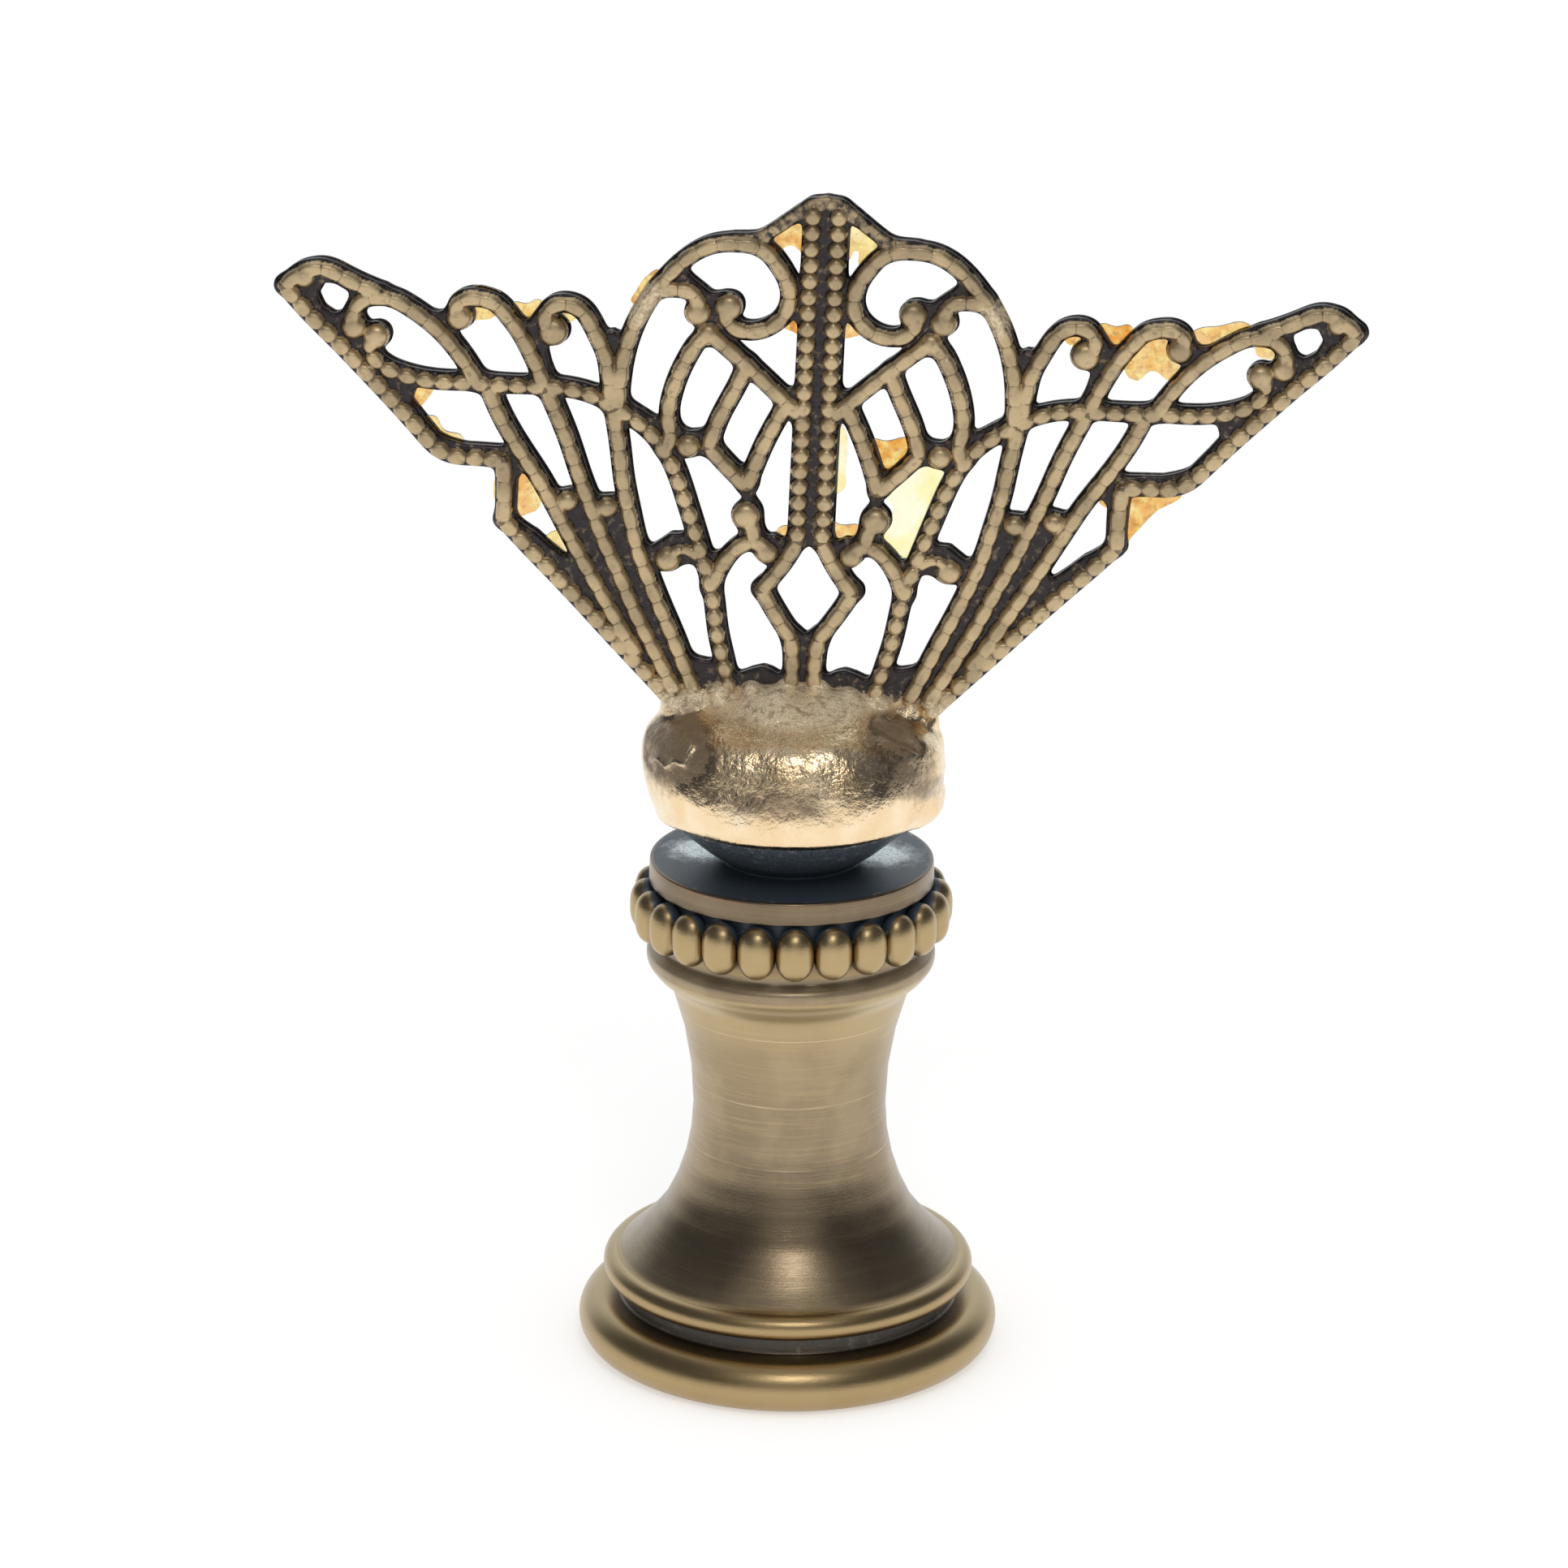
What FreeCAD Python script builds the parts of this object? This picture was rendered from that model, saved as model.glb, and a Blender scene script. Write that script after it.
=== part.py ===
import FreeCAD, Part
import math
import os
import Sketcher
from FreeCAD import Vector

# Lamp finial: a turned brass pedestal that screws on a lamp harp, a gilded moulded knob on its cup, and a
# flat openwork ornament of two stamped sheets glued back to back, rooted in the knob.
# Millimetres. +Z is up, the thread's axis is Z, z = 0 is the face that seats on the harp, and the front of
# the ornament looks along -Y.

SIZES = {
    # pedestal, from the foot up
    "foot_radius": 10.25,
    "foot_bead_radius": 1.25,
    "foot_groove_radius": 8.2,
    "foot_groove_height": 0.95,
    "skirt_under_radius": 8.7,
    "skirt_lip_radius": 8.35,
    "skirt_lip_height": 1.17,
    "skirt_lip_round": 0.62,
    "skirt_round": 10.8,
    "skirt_waist_radius": 6.1,
    "skirt_waist_height": 2.38,
    "neck_radius": 4.68,
    "neck_lower_height": 5.4,
    "neck_upper_height": 6.0,
    "neck_top_radius": 5.72,
    "cavetto_radius": 6.5,
    "cavetto_height": 0.85,
    "band_radius": 6.97,
    "band_round_height": 0.6,
    "band_height": 0.6,
    "core_radius": 6.45,
    "core_chamfer": 0.35,
    "core_height": 3.1,
    "collar_under_radius": 6.87,
    "collar_top_radius": 6.82,
    "collar_height": 1.1,
    "cup_foot_radius": 3.25,
    "cup_rim_radius": 6.05,
    "cup_height": 2.4,
    "cup_round": 14.0,
    "cup_lip": 0.4,
    "dish_floor_radius": 3.7,
    "dish_depth": 1.15,
    # ring of olive beads under the collar
    "bead_count": 24,
    "bead_orbit_radius": 6.98,
    "bead_bulge": 0.8,
    "bead_height": 2.6,
    "bead_tip_radius": 0.3,
    "bead_shoulder_radius": 0.62,
    "bead_shoulder_height": 0.28,
    "bead_flank_height": 0.8,
    "bead_collar_gap": 0.08,
    "bead_turn": 1.5,
    # thread for the harp's screw, and the stud that holds the knob
    "thread_radius": 2.72,
    "thread_depth": 10.0,
    "thread_chamfer": 0.35,
    "stud_radius": 2.08,
    "stud_chamfer": 0.3,
    "stud_socket_depth": 6.0,
    "stud_reach": 2.6,
    "stud_clearance": 0.04,
    # moulded knob
    "mould_clearance": 0.03,
    "knob_radius": 7.25,
    "knob_waist_height": 2.2,
    "knob_hem_radius": 6.45,
    "knob_hem_drop": 2.2,
    "knob_belly_round": 3.2,
    "knob_shoulder_radius": 6.85,
    "knob_shoulder_height": 1.85,
    "knob_shoulder_round": 4.2,
    "knob_crown_radius": 3.2,
    "knob_crown_height": 3.6,
    "knob_crown_fall": 0.3,
    "knob_face_lean": 42.0,
    "ridge_length": 12.6,
    "ridge_width": 4.2,
    "ridge_height": 2.8,
    "lobe_radius": 1.2,
    "lobe_left_offset": 5.4,
    "lobe_left_rise": 2.15,
    "lobe_right_offset": 5.7,
    "lobe_right_rise": 1.45,
    "drape_length": 13.2,
    "drape_width": 9.5,
    "drape_height": 0.8,
    # stamped ornament
    "tip_reach": 25.0,
    "ornament_rise": 1.4,
    "ornament_offset": 0.3,
    "ornament_lean": 2.2,
    "sheet_thickness": 0.6,
    "ground_thickness": 0.35,
    "glue_gap": 0.15,
    "strand_width": 0.9,
    "strand_tolerance": 0.02,
    "back_shift": 0.12,
    "slot_clearance": 0.05,
}

# The ornament's lines, in millimetres, u to the right and v up along the middle spine. Only the left half is
# listed, and the right half is its mirror image. The whole drawing, with its line width, is scaled so that
# the tip lies at tip_reach from the spine.
STRANDS = {
    "rib_upper": [(-25.0, 21.15), (-23.7, 19.75), (-22.5, 18.6), (-21.4, 17.5), (-19.8, 15.87),
                  (-18.3, 14.25), (-17.6, 13.6), (-17.0, 13.35), (-16.0, 13.28), (-14.6, 13.25)],
    "rib_step": [(-14.55, 13.2), (-14.45, 11.8), (-14.45, 10.3)],
    "rib_lower": [(-14.45, 10.3), (-13.6, 9.4), (-12.0, 7.8), (-10.9, 6.68), (-9.2, 4.9), (-7.5, 3.15),
                  (-6.45, 2.05), (-5.4, 0.9)],
    "fan_outer": [(-15.4, 16.7), (-14.75, 15.3), (-13.7, 13.6), (-12.75, 12.2), (-12.0, 10.9), (-11.05, 9.2),
                  (-10.1, 7.55), (-9.3, 6.2), (-8.7, 5.2), (-7.9, 4.0)],
    "fan_middle": [(-12.65, 16.7), (-11.5, 14.1), (-11.0, 12.7), (-10.35, 11.1), (-9.6, 9.3), (-8.85, 7.75),
                   (-8.1, 6.1), (-7.4, 4.75), (-6.65, 3.35), (-6.0, 2.2)],
    "fan_inner": [(-9.5, 15.9), (-9.15, 14.0), (-8.9, 12.4), (-8.55, 10.9), (-8.1, 9.2), (-7.55, 7.8),
                  (-6.9, 6.3), (-6.3, 5.0), (-5.65, 3.5), (-5.1, 2.3)],
    "long_arc": [(-20.7, 19.0), (-20.95, 18.3), (-20.45, 17.6), (-19.6, 17.2), (-17.9, 16.9), (-16.2, 16.9),
                 (-14.6, 16.86), (-12.15, 16.86), (-10.5, 16.55), (-8.95, 15.77), (-7.65, 14.8),
                 (-6.65, 13.4), (-5.9, 11.5), (-5.45, 10.2), (-5.0, 8.85), (-4.5, 7.2), (-4.3, 6.0),
                 (-4.1, 4.9), (-3.85, 3.95), (-3.4, 2.2)],
    "tip_scroll": [(-21.75, 19.2), (-21.8, 19.9), (-21.45, 20.55), (-20.8, 20.8), (-20.0, 20.75),
                   (-19.25, 20.4), (-17.9, 19.45), (-16.6, 18.0), (-15.9, 16.95)],
    "tip_cap": [(-25.0, 21.2), (-24.1, 21.9), (-23.2, 22.05), (-22.4, 21.75), (-21.4, 21.3), (-20.6, 21.0)],
    "loop_outer": [(-16.88, 20.05), (-16.95, 20.6), (-16.5, 20.95), (-15.9, 20.97), (-15.2, 20.77),
                   (-14.6, 20.2), (-14.05, 19.5), (-13.55, 18.65), (-13.2, 17.95), (-12.75, 16.9)],
    "loop_inner": [(-12.75, 19.7), (-12.8, 20.4), (-12.45, 20.8), (-11.85, 20.9), (-11.2, 20.64),
                   (-10.7, 20.0), (-10.3, 19.25), (-9.95, 18.45), (-9.8, 17.7), (-9.6, 16.3)],
    "big_scroll": [(-9.3, 16.1), (-9.25, 17.3), (-8.95, 19.2), (-8.15, 21.15), (-7.2, 22.5), (-6.6, 23.15),
                   (-5.9, 23.7), (-5.05, 24.07), (-4.1, 24.17), (-3.3, 24.1), (-2.65, 23.8), (-2.1, 23.2),
                   (-1.67, 22.5), (-1.5, 21.7), (-1.7, 20.9), (-2.2, 20.35), (-3.0, 20.0), (-4.0, 20.15),
                   (-4.4, 20.6), (-4.33, 21.27)],
    "crest": [(-4.2, 24.2), (-3.0, 24.4), (-2.27, 24.82), (-1.6, 25.32), (-0.8, 25.9), (0.1, 26.2)],
    "hook": [(-7.6, 21.8), (-6.5, 21.85), (-5.95, 21.65), (-5.75, 21.25), (-5.8, 20.75)],
    "bow": [(-5.15, 19.85), (-5.7, 19.35), (-6.15, 18.6), (-6.5, 17.8), (-6.8, 16.8), (-6.9, 15.6),
            (-6.8, 14.7), (-7.0, 14.15)],
    "diagonal": [(-5.15, 19.85), (-3.8, 18.75), (-2.5, 17.64), (-1.35, 16.6), (-0.8, 16.1)],
    "lozenge_left": [(-3.4, 18.3), (-3.8, 17.3), (-4.6, 15.55), (-4.95, 14.36)],
    "lozenge_low": [(-4.95, 14.36), (-4.3, 13.65), (-3.1, 12.5)],
    "lozenge_right": [(-1.4, 16.6), (-2.3, 14.75), (-3.1, 12.5)],
    "small_arch": [(-4.6, 7.4), (-4.15, 8.45), (-3.65, 9.2), (-3.0, 9.68), (-2.5, 9.75), (-1.9, 9.3)],
    "stem": [(-3.1, 11.1), (-2.75, 10.5), (-2.64, 9.8)],
    "spine": [(-0.6, 26.0), (-0.6, 18.0), (-0.6, 9.9)],
    "diamond_upper": [(-0.6, 9.9), (-1.3, 8.6), (-2.15, 7.45)],
    "diamond_lower": [(-2.15, 7.45), (-1.4, 6.2), (-0.65, 5.1)],
    "diamond_stem": [(-0.65, 5.1), (-0.55, 4.2), (-0.55, 2.6)],
}

# Round bosses: u, v and radius.
BOSSES = {
    "comma_head": (-20.68, 18.95, 0.57),
    "tip_scroll_head": (-21.73, 19.35, 0.53),
    "tip_boss": (-24.1, 21.65, 0.48),
    "loop_outer_head": (-16.82, 20.03, 0.56),
    "loop_inner_head": (-12.43, 19.55, 0.64),
    "big_scroll_head": (-4.3, 21.12, 0.6),
    "hook_head": (-5.73, 20.78, 0.56),
    "node": (-5.2, 19.8, 0.5),
    "lozenge_link": (-5.92, 14.33, 0.52),
    "stem_head": (-3.06, 11.05, 0.62),
    "small_arch_head": (-2.0, 9.27, 0.5),
    "stem_link": (-6.65, 8.73, 0.56),
    "fan_outer_boss": (-11.47, 11.38, 0.47),
    "fan_inner_boss": (-9.6, 11.16, 0.47),
}

# Ground: the sheet's lower plain level, which closes the corners between strands. The corners of each
# outline lie under the strands beside it.
GROUNDS = {
    "tip": [(-24.9, 21.2), (-24.0, 21.9), (-22.4, 21.75), (-21.4, 21.2), (-21.6, 20.4), (-21.7, 19.2),
            (-20.9, 19.1), (-20.9, 18.2), (-21.4, 17.6), (-22.5, 18.7)],
    "arc_start": [(-20.6, 17.4), (-18.6, 16.9), (-18.4, 16.3), (-18.55, 15.8), (-18.1, 15.2), (-17.4, 14.3),
                  (-16.4, 13.85), (-14.5, 13.8), (-13.9, 13.5), (-14.5, 12.9), (-17.2, 13.3), (-18.4, 14.3)],
    "tip_notch": [(-18.6, 20.0), (-17.8, 20.2), (-17.1, 20.5), (-16.9, 20.0), (-17.1, 19.4), (-17.0, 18.6),
                  (-17.8, 19.3)],
    "loop_notch": [(-14.0, 19.6), (-13.3, 20.4), (-12.8, 20.4), (-12.6, 19.4), (-12.75, 18.7), (-12.6, 18.0),
                   (-12.2, 17.0), (-13.1, 17.6)],
    "scroll_notch": [(-10.3, 19.3), (-9.7, 19.75), (-9.0, 19.2), (-9.2, 17.3), (-9.8, 17.3)],
    "hook": [(-7.3, 22.2), (-6.4, 22.75), (-5.75, 22.15), (-5.15, 21.75), (-4.6, 21.75), (-4.4, 20.8),
             (-5.0, 19.9), (-5.7, 20.5), (-5.9, 21.5), (-6.5, 21.8)],
    "crest": [(-3.4, 24.1), (-2.3, 24.85), (-0.7, 25.9), (-0.7, 25.3), (-1.7, 24.7), (-2.7, 23.9)],
    "spine_corner": [(-1.5, 21.5), (-0.8, 21.5), (-0.8, 20.5), (-1.7, 20.9)],
    "diagonal_end": [(-1.9, 17.0), (-1.35, 17.15), (-1.05, 17.35), (-0.7, 17.5), (-0.7, 16.2)],
    "bow_end": [(-9.2, 15.9), (-8.9, 16.35), (-7.5, 15.55), (-6.9, 15.6), (-6.9, 14.2), (-8.0, 15.1)],
    "lozenge_link": [(-6.9, 15.5), (-6.35, 15.2), (-5.9, 14.95), (-5.35, 15.1), (-4.7, 15.3), (-4.9, 14.3),
                     (-5.1, 13.9), (-5.9, 13.8), (-6.7, 13.6)],
    "stem_link": [(-8.1, 9.3), (-7.45, 9.3), (-7.05, 9.6), (-6.6, 9.95), (-5.4, 10.0), (-5.0, 8.9),
                  (-5.7, 8.5), (-6.4, 8.3), (-7.7, 8.1)],
    "stem_head": [(-3.1, 12.5), (-2.85, 12.1), (-2.45, 11.3), (-2.35, 10.4), (-2.0, 9.7), (-3.2, 9.6),
                  (-3.35, 10.2), (-3.4, 11.0)],
    "small_arch": [(-5.05, 8.9), (-4.5, 9.05), (-4.0, 9.0), (-4.2, 8.4), (-4.6, 7.6)],
    "arch_spine": [(-2.4, 9.7), (-1.7, 10.15), (-1.2, 9.85), (-0.7, 9.9), (-1.3, 8.6), (-1.75, 8.9)],
    "fan_gap_outer": [(-12.4, 11.6), (-11.4, 11.75), (-10.5, 11.8), (-8.1, 6.1), (-6.6, 3.3), (-8.2, 4.3)],
    "fan_gap_inner": [(-10.6, 11.6), (-9.6, 11.5), (-8.7, 11.6), (-6.3, 5.0), (-5.4, 3.0), (-6.4, 2.9)],
    "rib_gap": [(-14.3, 10.4), (-12.95, 9.75), (-12.2, 9.1), (-11.55, 8.6), (-11.25, 8.75), (-10.9, 9.0),
                (-7.9, 4.0), (-8.5, 4.1)],
    "rib_step_gap": [(-14.6, 13.3), (-13.9, 12.95), (-13.7, 12.6), (-14.0, 12.2), (-14.1, 10.5),
                     (-14.6, 10.4)],
    "diamond_foot": [(-0.9, 5.35), (-0.3, 5.35), (0.1, 5.1), (0.1, 2.5), (-0.7, 2.5)],
    "spine": [(-0.9, 26.0), (0.1, 26.0), (0.1, 9.5), (-0.9, 9.9)],
}

# The plain root of both sheets, buried in the knob: half of its outline, from the middle outwards.
ROOT_TOP = [(0.0, 3.4), (-1.1, 3.2), (-1.5, 3.45), (-1.95, 3.58), (-2.5, 3.42), (-3.2, 3.1), (-3.9, 3.7),
            (-4.6, 3.75), (-5.4, 3.9), (-6.3, 3.6), (-7.2, 2.9)]
ROOT_SIDE = [(-6.45, 2.0), (-5.4, 0.9), (-4.9, -0.2)]
ROOT_FLOOR = (-4.7, -1.2)

# The knob's slot around that root: half of its upper outline, out past the knob's sides, before clearance.
SLOT_TOP = [(0.0, 4.5), (-8.6, 4.5), (-7.5, 3.15)]

# The eye of each tip, cut out of its ground.
TIP_HOLE = [(-23.5, 20.8), (-23.2, 21.35), (-22.6, 21.45), (-22.0, 21.05), (-21.95, 20.5), (-22.25, 20.05),
            (-22.7, 19.9), (-23.2, 20.2)]

# Films of hard amber glue that were left in the openings, in the gap between the two sheets. Closed
# outlines; each runs under the strands around it. These are not mirrored.
WEBS = {
    "left_crest": [(-3.1, 24.2), (-2.6, 24.7), (-1.3, 25.5), (-0.8, 25.6), (-0.8, 23.5), (-1.15, 23.9),
                   (-1.5, 24.1), (-1.85, 24.0), (-2.0, 23.5), (-2.5, 23.6)],
    "left_scroll_foot": [(-1.6, 20.8), (-0.8, 20.6), (-0.9, 19.9), (-1.3, 20.0), (-1.9, 20.4)],
    "left_loop_outer": [(-16.5, 20.5), (-14.8, 20.6), (-15.3, 20.0), (-15.9, 19.85), (-16.6, 19.9)],
    "left_loop_crown": [(-16.9, 20.8), (-16.2, 21.45), (-15.5, 21.45), (-14.9, 21.0), (-15.5, 20.8)],
    "left_loop_notch": [(-14.7, 20.3), (-14.4, 20.75), (-13.7, 20.75), (-13.2, 20.95), (-12.7, 20.5),
                        (-13.4, 19.9), (-14.0, 19.8)],
    "left_loop_inner": [(-12.2, 20.5), (-11.2, 20.5), (-11.5, 20.05), (-11.9, 19.9), (-12.4, 20.0)],
    "left_arc_start": [(-19.4, 16.6), (-18.4, 16.6), (-18.5, 15.95), (-18.8, 15.7), (-19.3, 15.8)],
    "left_rib": [(-18.5, 14.8), (-17.9, 15.1), (-17.4, 14.45), (-16.5, 14.1), (-16.6, 13.7), (-17.6, 13.8)],
    "left_step": [(-14.5, 12.9), (-13.6, 12.7), (-12.75, 11.0), (-13.4, 10.5), (-14.3, 10.3)],
    "left_rib_gap": [(-12.5, 9.4), (-11.5, 9.7), (-11.1, 8.9), (-11.6, 8.3), (-12.5, 8.6)],
    "left_spine": [(-1.5, 10.35), (-0.9, 10.45), (-0.9, 9.8), (-1.5, 9.85)],
    "right_crest": [(0.8, 25.6), (1.5, 25.5), (2.7, 24.8), (2.4, 24.0), (2.0, 23.3), (1.7, 23.3), (1.5, 24.0),
                    (1.2, 23.6), (0.8, 23.4)],
    "right_scroll_foot": [(0.9, 20.4), (1.7, 20.7), (2.1, 20.3), (1.5, 19.85), (0.9, 19.9)],
    "right_tip_notch": [(16.9, 20.2), (17.5, 20.95), (18.6, 21.2), (19.9, 21.4), (20.3, 20.9), (19.3, 20.2),
                        (17.6, 19.6)],
    "right_loop_outer": [(14.4, 20.2), (15.8, 20.8), (17.1, 20.3), (16.9, 19.2), (16.6, 18.5), (15.6, 18.9),
                         (14.9, 18.4), (14.2, 19.2)],
    "right_loop_notch": [(12.7, 20.6), (13.1, 21.05), (13.8, 20.95), (14.5, 21.0), (14.6, 20.3), (13.9, 19.6),
                         (13.2, 20.0)],
    "right_loop_inner": [(11.4, 20.6), (12.4, 20.6), (12.5, 20.1), (11.9, 19.95), (11.5, 20.1)],
    "right_tip_scroll": [(20.5, 20.5), (21.3, 20.4), (21.4, 19.9), (20.8, 19.75), (20.4, 20.0)],
    "right_step": [(17.4, 13.2), (14.6, 13.0), (14.6, 10.2), (15.3, 10.9), (16.2, 12.0)],
    "right_rib_gap": [(13.4, 12.9), (14.4, 12.9), (14.3, 12.2), (13.7, 12.25)],
    "right_stem_field": [(6.3, 14.0), (4.6, 13.6), (3.4, 12.7), (3.85, 11.5), (3.7, 10.9), (3.3, 10.2),
                         (3.6, 9.7), (4.5, 9.2), (4.9, 9.5), (5.4, 11.0)],
    "right_spine_strip": [(0.9, 15.7), (1.3, 15.5), (1.55, 13.4), (1.45, 12.4), (0.9, 12.3)],
    "right_spine_foot": [(0.9, 10.9), (1.4, 10.7), (2.4, 10.6), (2.2, 10.0), (1.3, 9.8), (0.9, 10.0)],
    "right_lozenge": [(4.8, 14.4), (4.45, 15.05), (3.4, 14.9), (2.5, 14.9), (2.4, 13.9), (3.1, 12.8)],
}


class Size:
    """A length: its value, and the expression over the sheet's cells that drives it in the document."""

    def __init__(self, value, text):
        self.value = value
        self.text = text

    def __add__(self, other):
        other = as_size(other)
        return Size(self.value + other.value, f"({self.text} + {other.text})")

    def __sub__(self, other):
        other = as_size(other)
        return Size(self.value - other.value, f"({self.text} - {other.text})")

    def __mul__(self, factor):
        return Size(self.value * factor, f"({self.text} * {factor})")

    def __truediv__(self, divisor):
        return Size(self.value / divisor, f"({self.text} / {divisor})")

    def __neg__(self):
        return Size(-self.value, f"(-{self.text})")


def as_size(item):
    return item if isinstance(item, Size) else Size(item, str(item))


def cell(name):
    return Size(SIZES[name], f"sizes.{name}")


def make_sheet(doc):
    sheet = doc.addObject("Spreadsheet::Sheet", "sizes")
    for row, (name, value) in enumerate(SIZES.items(), start=1):
        sheet.set(f"A{row}", name)
        sheet.set(f"B{row}", str(value))
        sheet.setAlias(f"B{row}", name)
    doc.recompute()
    return sheet


def bind(obj, **paths):
    for path, size in paths.items():
        obj.setExpression(path.replace("__", "."), as_size(size).text)


# Sketched profiles of turned pieces

ROUNDING = 1e-6


def arc_centre(start, end, kind, size):
    """Centre of an arc between two points, from the centre's height or distance from the axis, or its radius."""
    chord = end - start
    middle = (start + end) / 2
    if kind == "level":
        return middle + Vector(-chord.y, chord.x, 0) * ((size.value - middle.y) / chord.x)
    if kind == "column":
        return middle + Vector(-chord.y, chord.x, 0) * ((middle.x - size.value) / chord.y)
    side = 1 if kind == "bulge_right" else -1
    across = Vector(chord.y, -chord.x, 0).normalize()
    half = chord.Length / 2
    return middle - across * side * math.sqrt(size.value ** 2 - half ** 2)


def tangent_centre(start, end, before):
    """Centre of an arc that leaves the arc before it without a corner."""
    across = (start - before).normalize()
    chord = end - start
    return start + across * (chord.Length ** 2 / (2 * chord.dot(across)))


def add_arc(sketch, start, end, centre):
    """Adds the short arc, and says whether the sketch runs it from its end to its start."""
    radius = (start - centre).Length
    first = math.atan2(start.y - centre.y, start.x - centre.x)
    last = math.atan2(end.y - centre.y, end.x - centre.x)
    turned = (last - first) % (2 * math.pi) > math.pi + ROUNDING
    if turned:
        first, last = last, first
    circle = Part.Circle(centre, Vector(0, 0, 1), radius)
    index = sketch.addGeometry(Part.ArcOfCircle(circle, first, last), False)
    return index, turned


def add_profile(sketch, corners, arcs):
    """Closed outline through corners. arcs gives the edges that are round, by their first corner."""
    points = [Vector(x.value, y.value, 0) for x, y in corners]
    ends = []
    centre = None
    for index, start in enumerate(points):
        end = points[(index + 1) % len(points)]
        if index not in arcs:
            edge = sketch.addGeometry(Part.LineSegment(start, end), False)
            ends.append((edge, 1, 2))
            continue
        kind, size = arcs[index]
        if kind == "tangent":
            centre = tangent_centre(start, end, centre)
        else:
            centre = arc_centre(start, end, kind, size)
        edge, turned = add_arc(sketch, start, end, centre)
        ends.append((edge, 2, 1) if turned else (edge, 1, 2))
    for index, (edge, first, last) in enumerate(ends):
        after, after_first, _ = ends[(index + 1) % len(ends)]
        tangent_next = arcs.get((index + 1) % len(ends), ("", None))[0] == "tangent"
        meeting = "Tangent" if tangent_next else "Coincident"
        sketch.addConstraint(Sketcher.Constraint(meeting, edge, last, after, after_first))
    for (edge, first, _), (x, y) in zip(ends, corners):
        hold_corner(sketch, edge, first, x, y)
    for index, (kind, size) in arcs.items():
        edge = ends[index][0]
        if kind in ("level", "column"):
            along = "DistanceY" if kind == "level" else "DistanceX"
            number = sketch.addConstraint(Sketcher.Constraint(along, -1, 1, edge, 3, size.value))
            sketch.setExpression(f"Constraints[{number}]", size.text)
        elif kind != "tangent":
            number = sketch.addConstraint(Sketcher.Constraint("Radius", edge, size.value))
            sketch.setExpression(f"Constraints[{number}]", size.text)


def hold_corner(sketch, edge, end, x, y):
    for kind, flat, size in (("DistanceX", "Vertical", x), ("DistanceY", "Horizontal", y)):
        if size.value == 0:
            sketch.addConstraint(Sketcher.Constraint(flat, -1, 1, edge, end))
            continue
        number = sketch.addConstraint(Sketcher.Constraint(kind, -1, 1, edge, end, size.value))
        sketch.setExpression(f"Constraints[{number}]", size.text)


def origin_feature(body, role):
    return next(item for item in body.Origin.OriginFeatures if item.Role == role)


def turned_body(doc, name, corners, arcs):
    """A body turned about Z from a closed outline in the XZ plane, given as radius and height."""
    body = doc.addObject("PartDesign::Body", name)
    sketch = body.newObject("Sketcher::SketchObject", name + "_profile")
    sketch.AttachmentSupport = (origin_feature(body, "XZ_Plane"), [""])
    sketch.MapMode = "FlatFace"
    add_profile(sketch, corners, arcs)
    doc.recompute()
    turning = body.newObject("PartDesign::Revolution", name + "_turning")
    turning.Profile = sketch
    turning.ReferenceAxis = (sketch, ["V_Axis"])
    turning.Angle = 360
    body.Tip = turning
    doc.recompute()
    return body


# Heights along the axis, added up from the seating face

def pedestal_levels():
    level = {}
    level["foot_top"] = cell("foot_bead_radius") * 2
    level["skirt_under"] = level["foot_top"] + cell("foot_groove_height")
    level["skirt_lip"] = level["skirt_under"] + cell("skirt_lip_height")
    level["skirt_waist"] = level["skirt_lip"] + cell("skirt_waist_height")
    level["neck"] = level["skirt_waist"] + cell("neck_lower_height")
    level["neck_top"] = level["neck"] + cell("neck_upper_height")
    level["cavetto"] = level["neck_top"] + cell("cavetto_height")
    level["band_low"] = level["cavetto"] + cell("band_round_height")
    level["band_top"] = level["band_low"] + cell("band_height")
    level["core_low"] = level["band_top"] + cell("core_chamfer")
    level["collar_under"] = level["core_low"] + cell("core_height")
    level["collar_top"] = level["collar_under"] + cell("collar_height")
    level["rim"] = level["collar_top"] + cell("cup_height")
    level["dish_floor"] = level["rim"] - cell("dish_depth")
    level["socket_floor"] = level["dish_floor"] - cell("stud_socket_depth")
    level["beads"] = level["collar_under"] - cell("bead_collar_gap") - cell("bead_height") / 2
    level["knob_waist"] = level["rim"] + cell("knob_waist_height")
    return level


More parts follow.
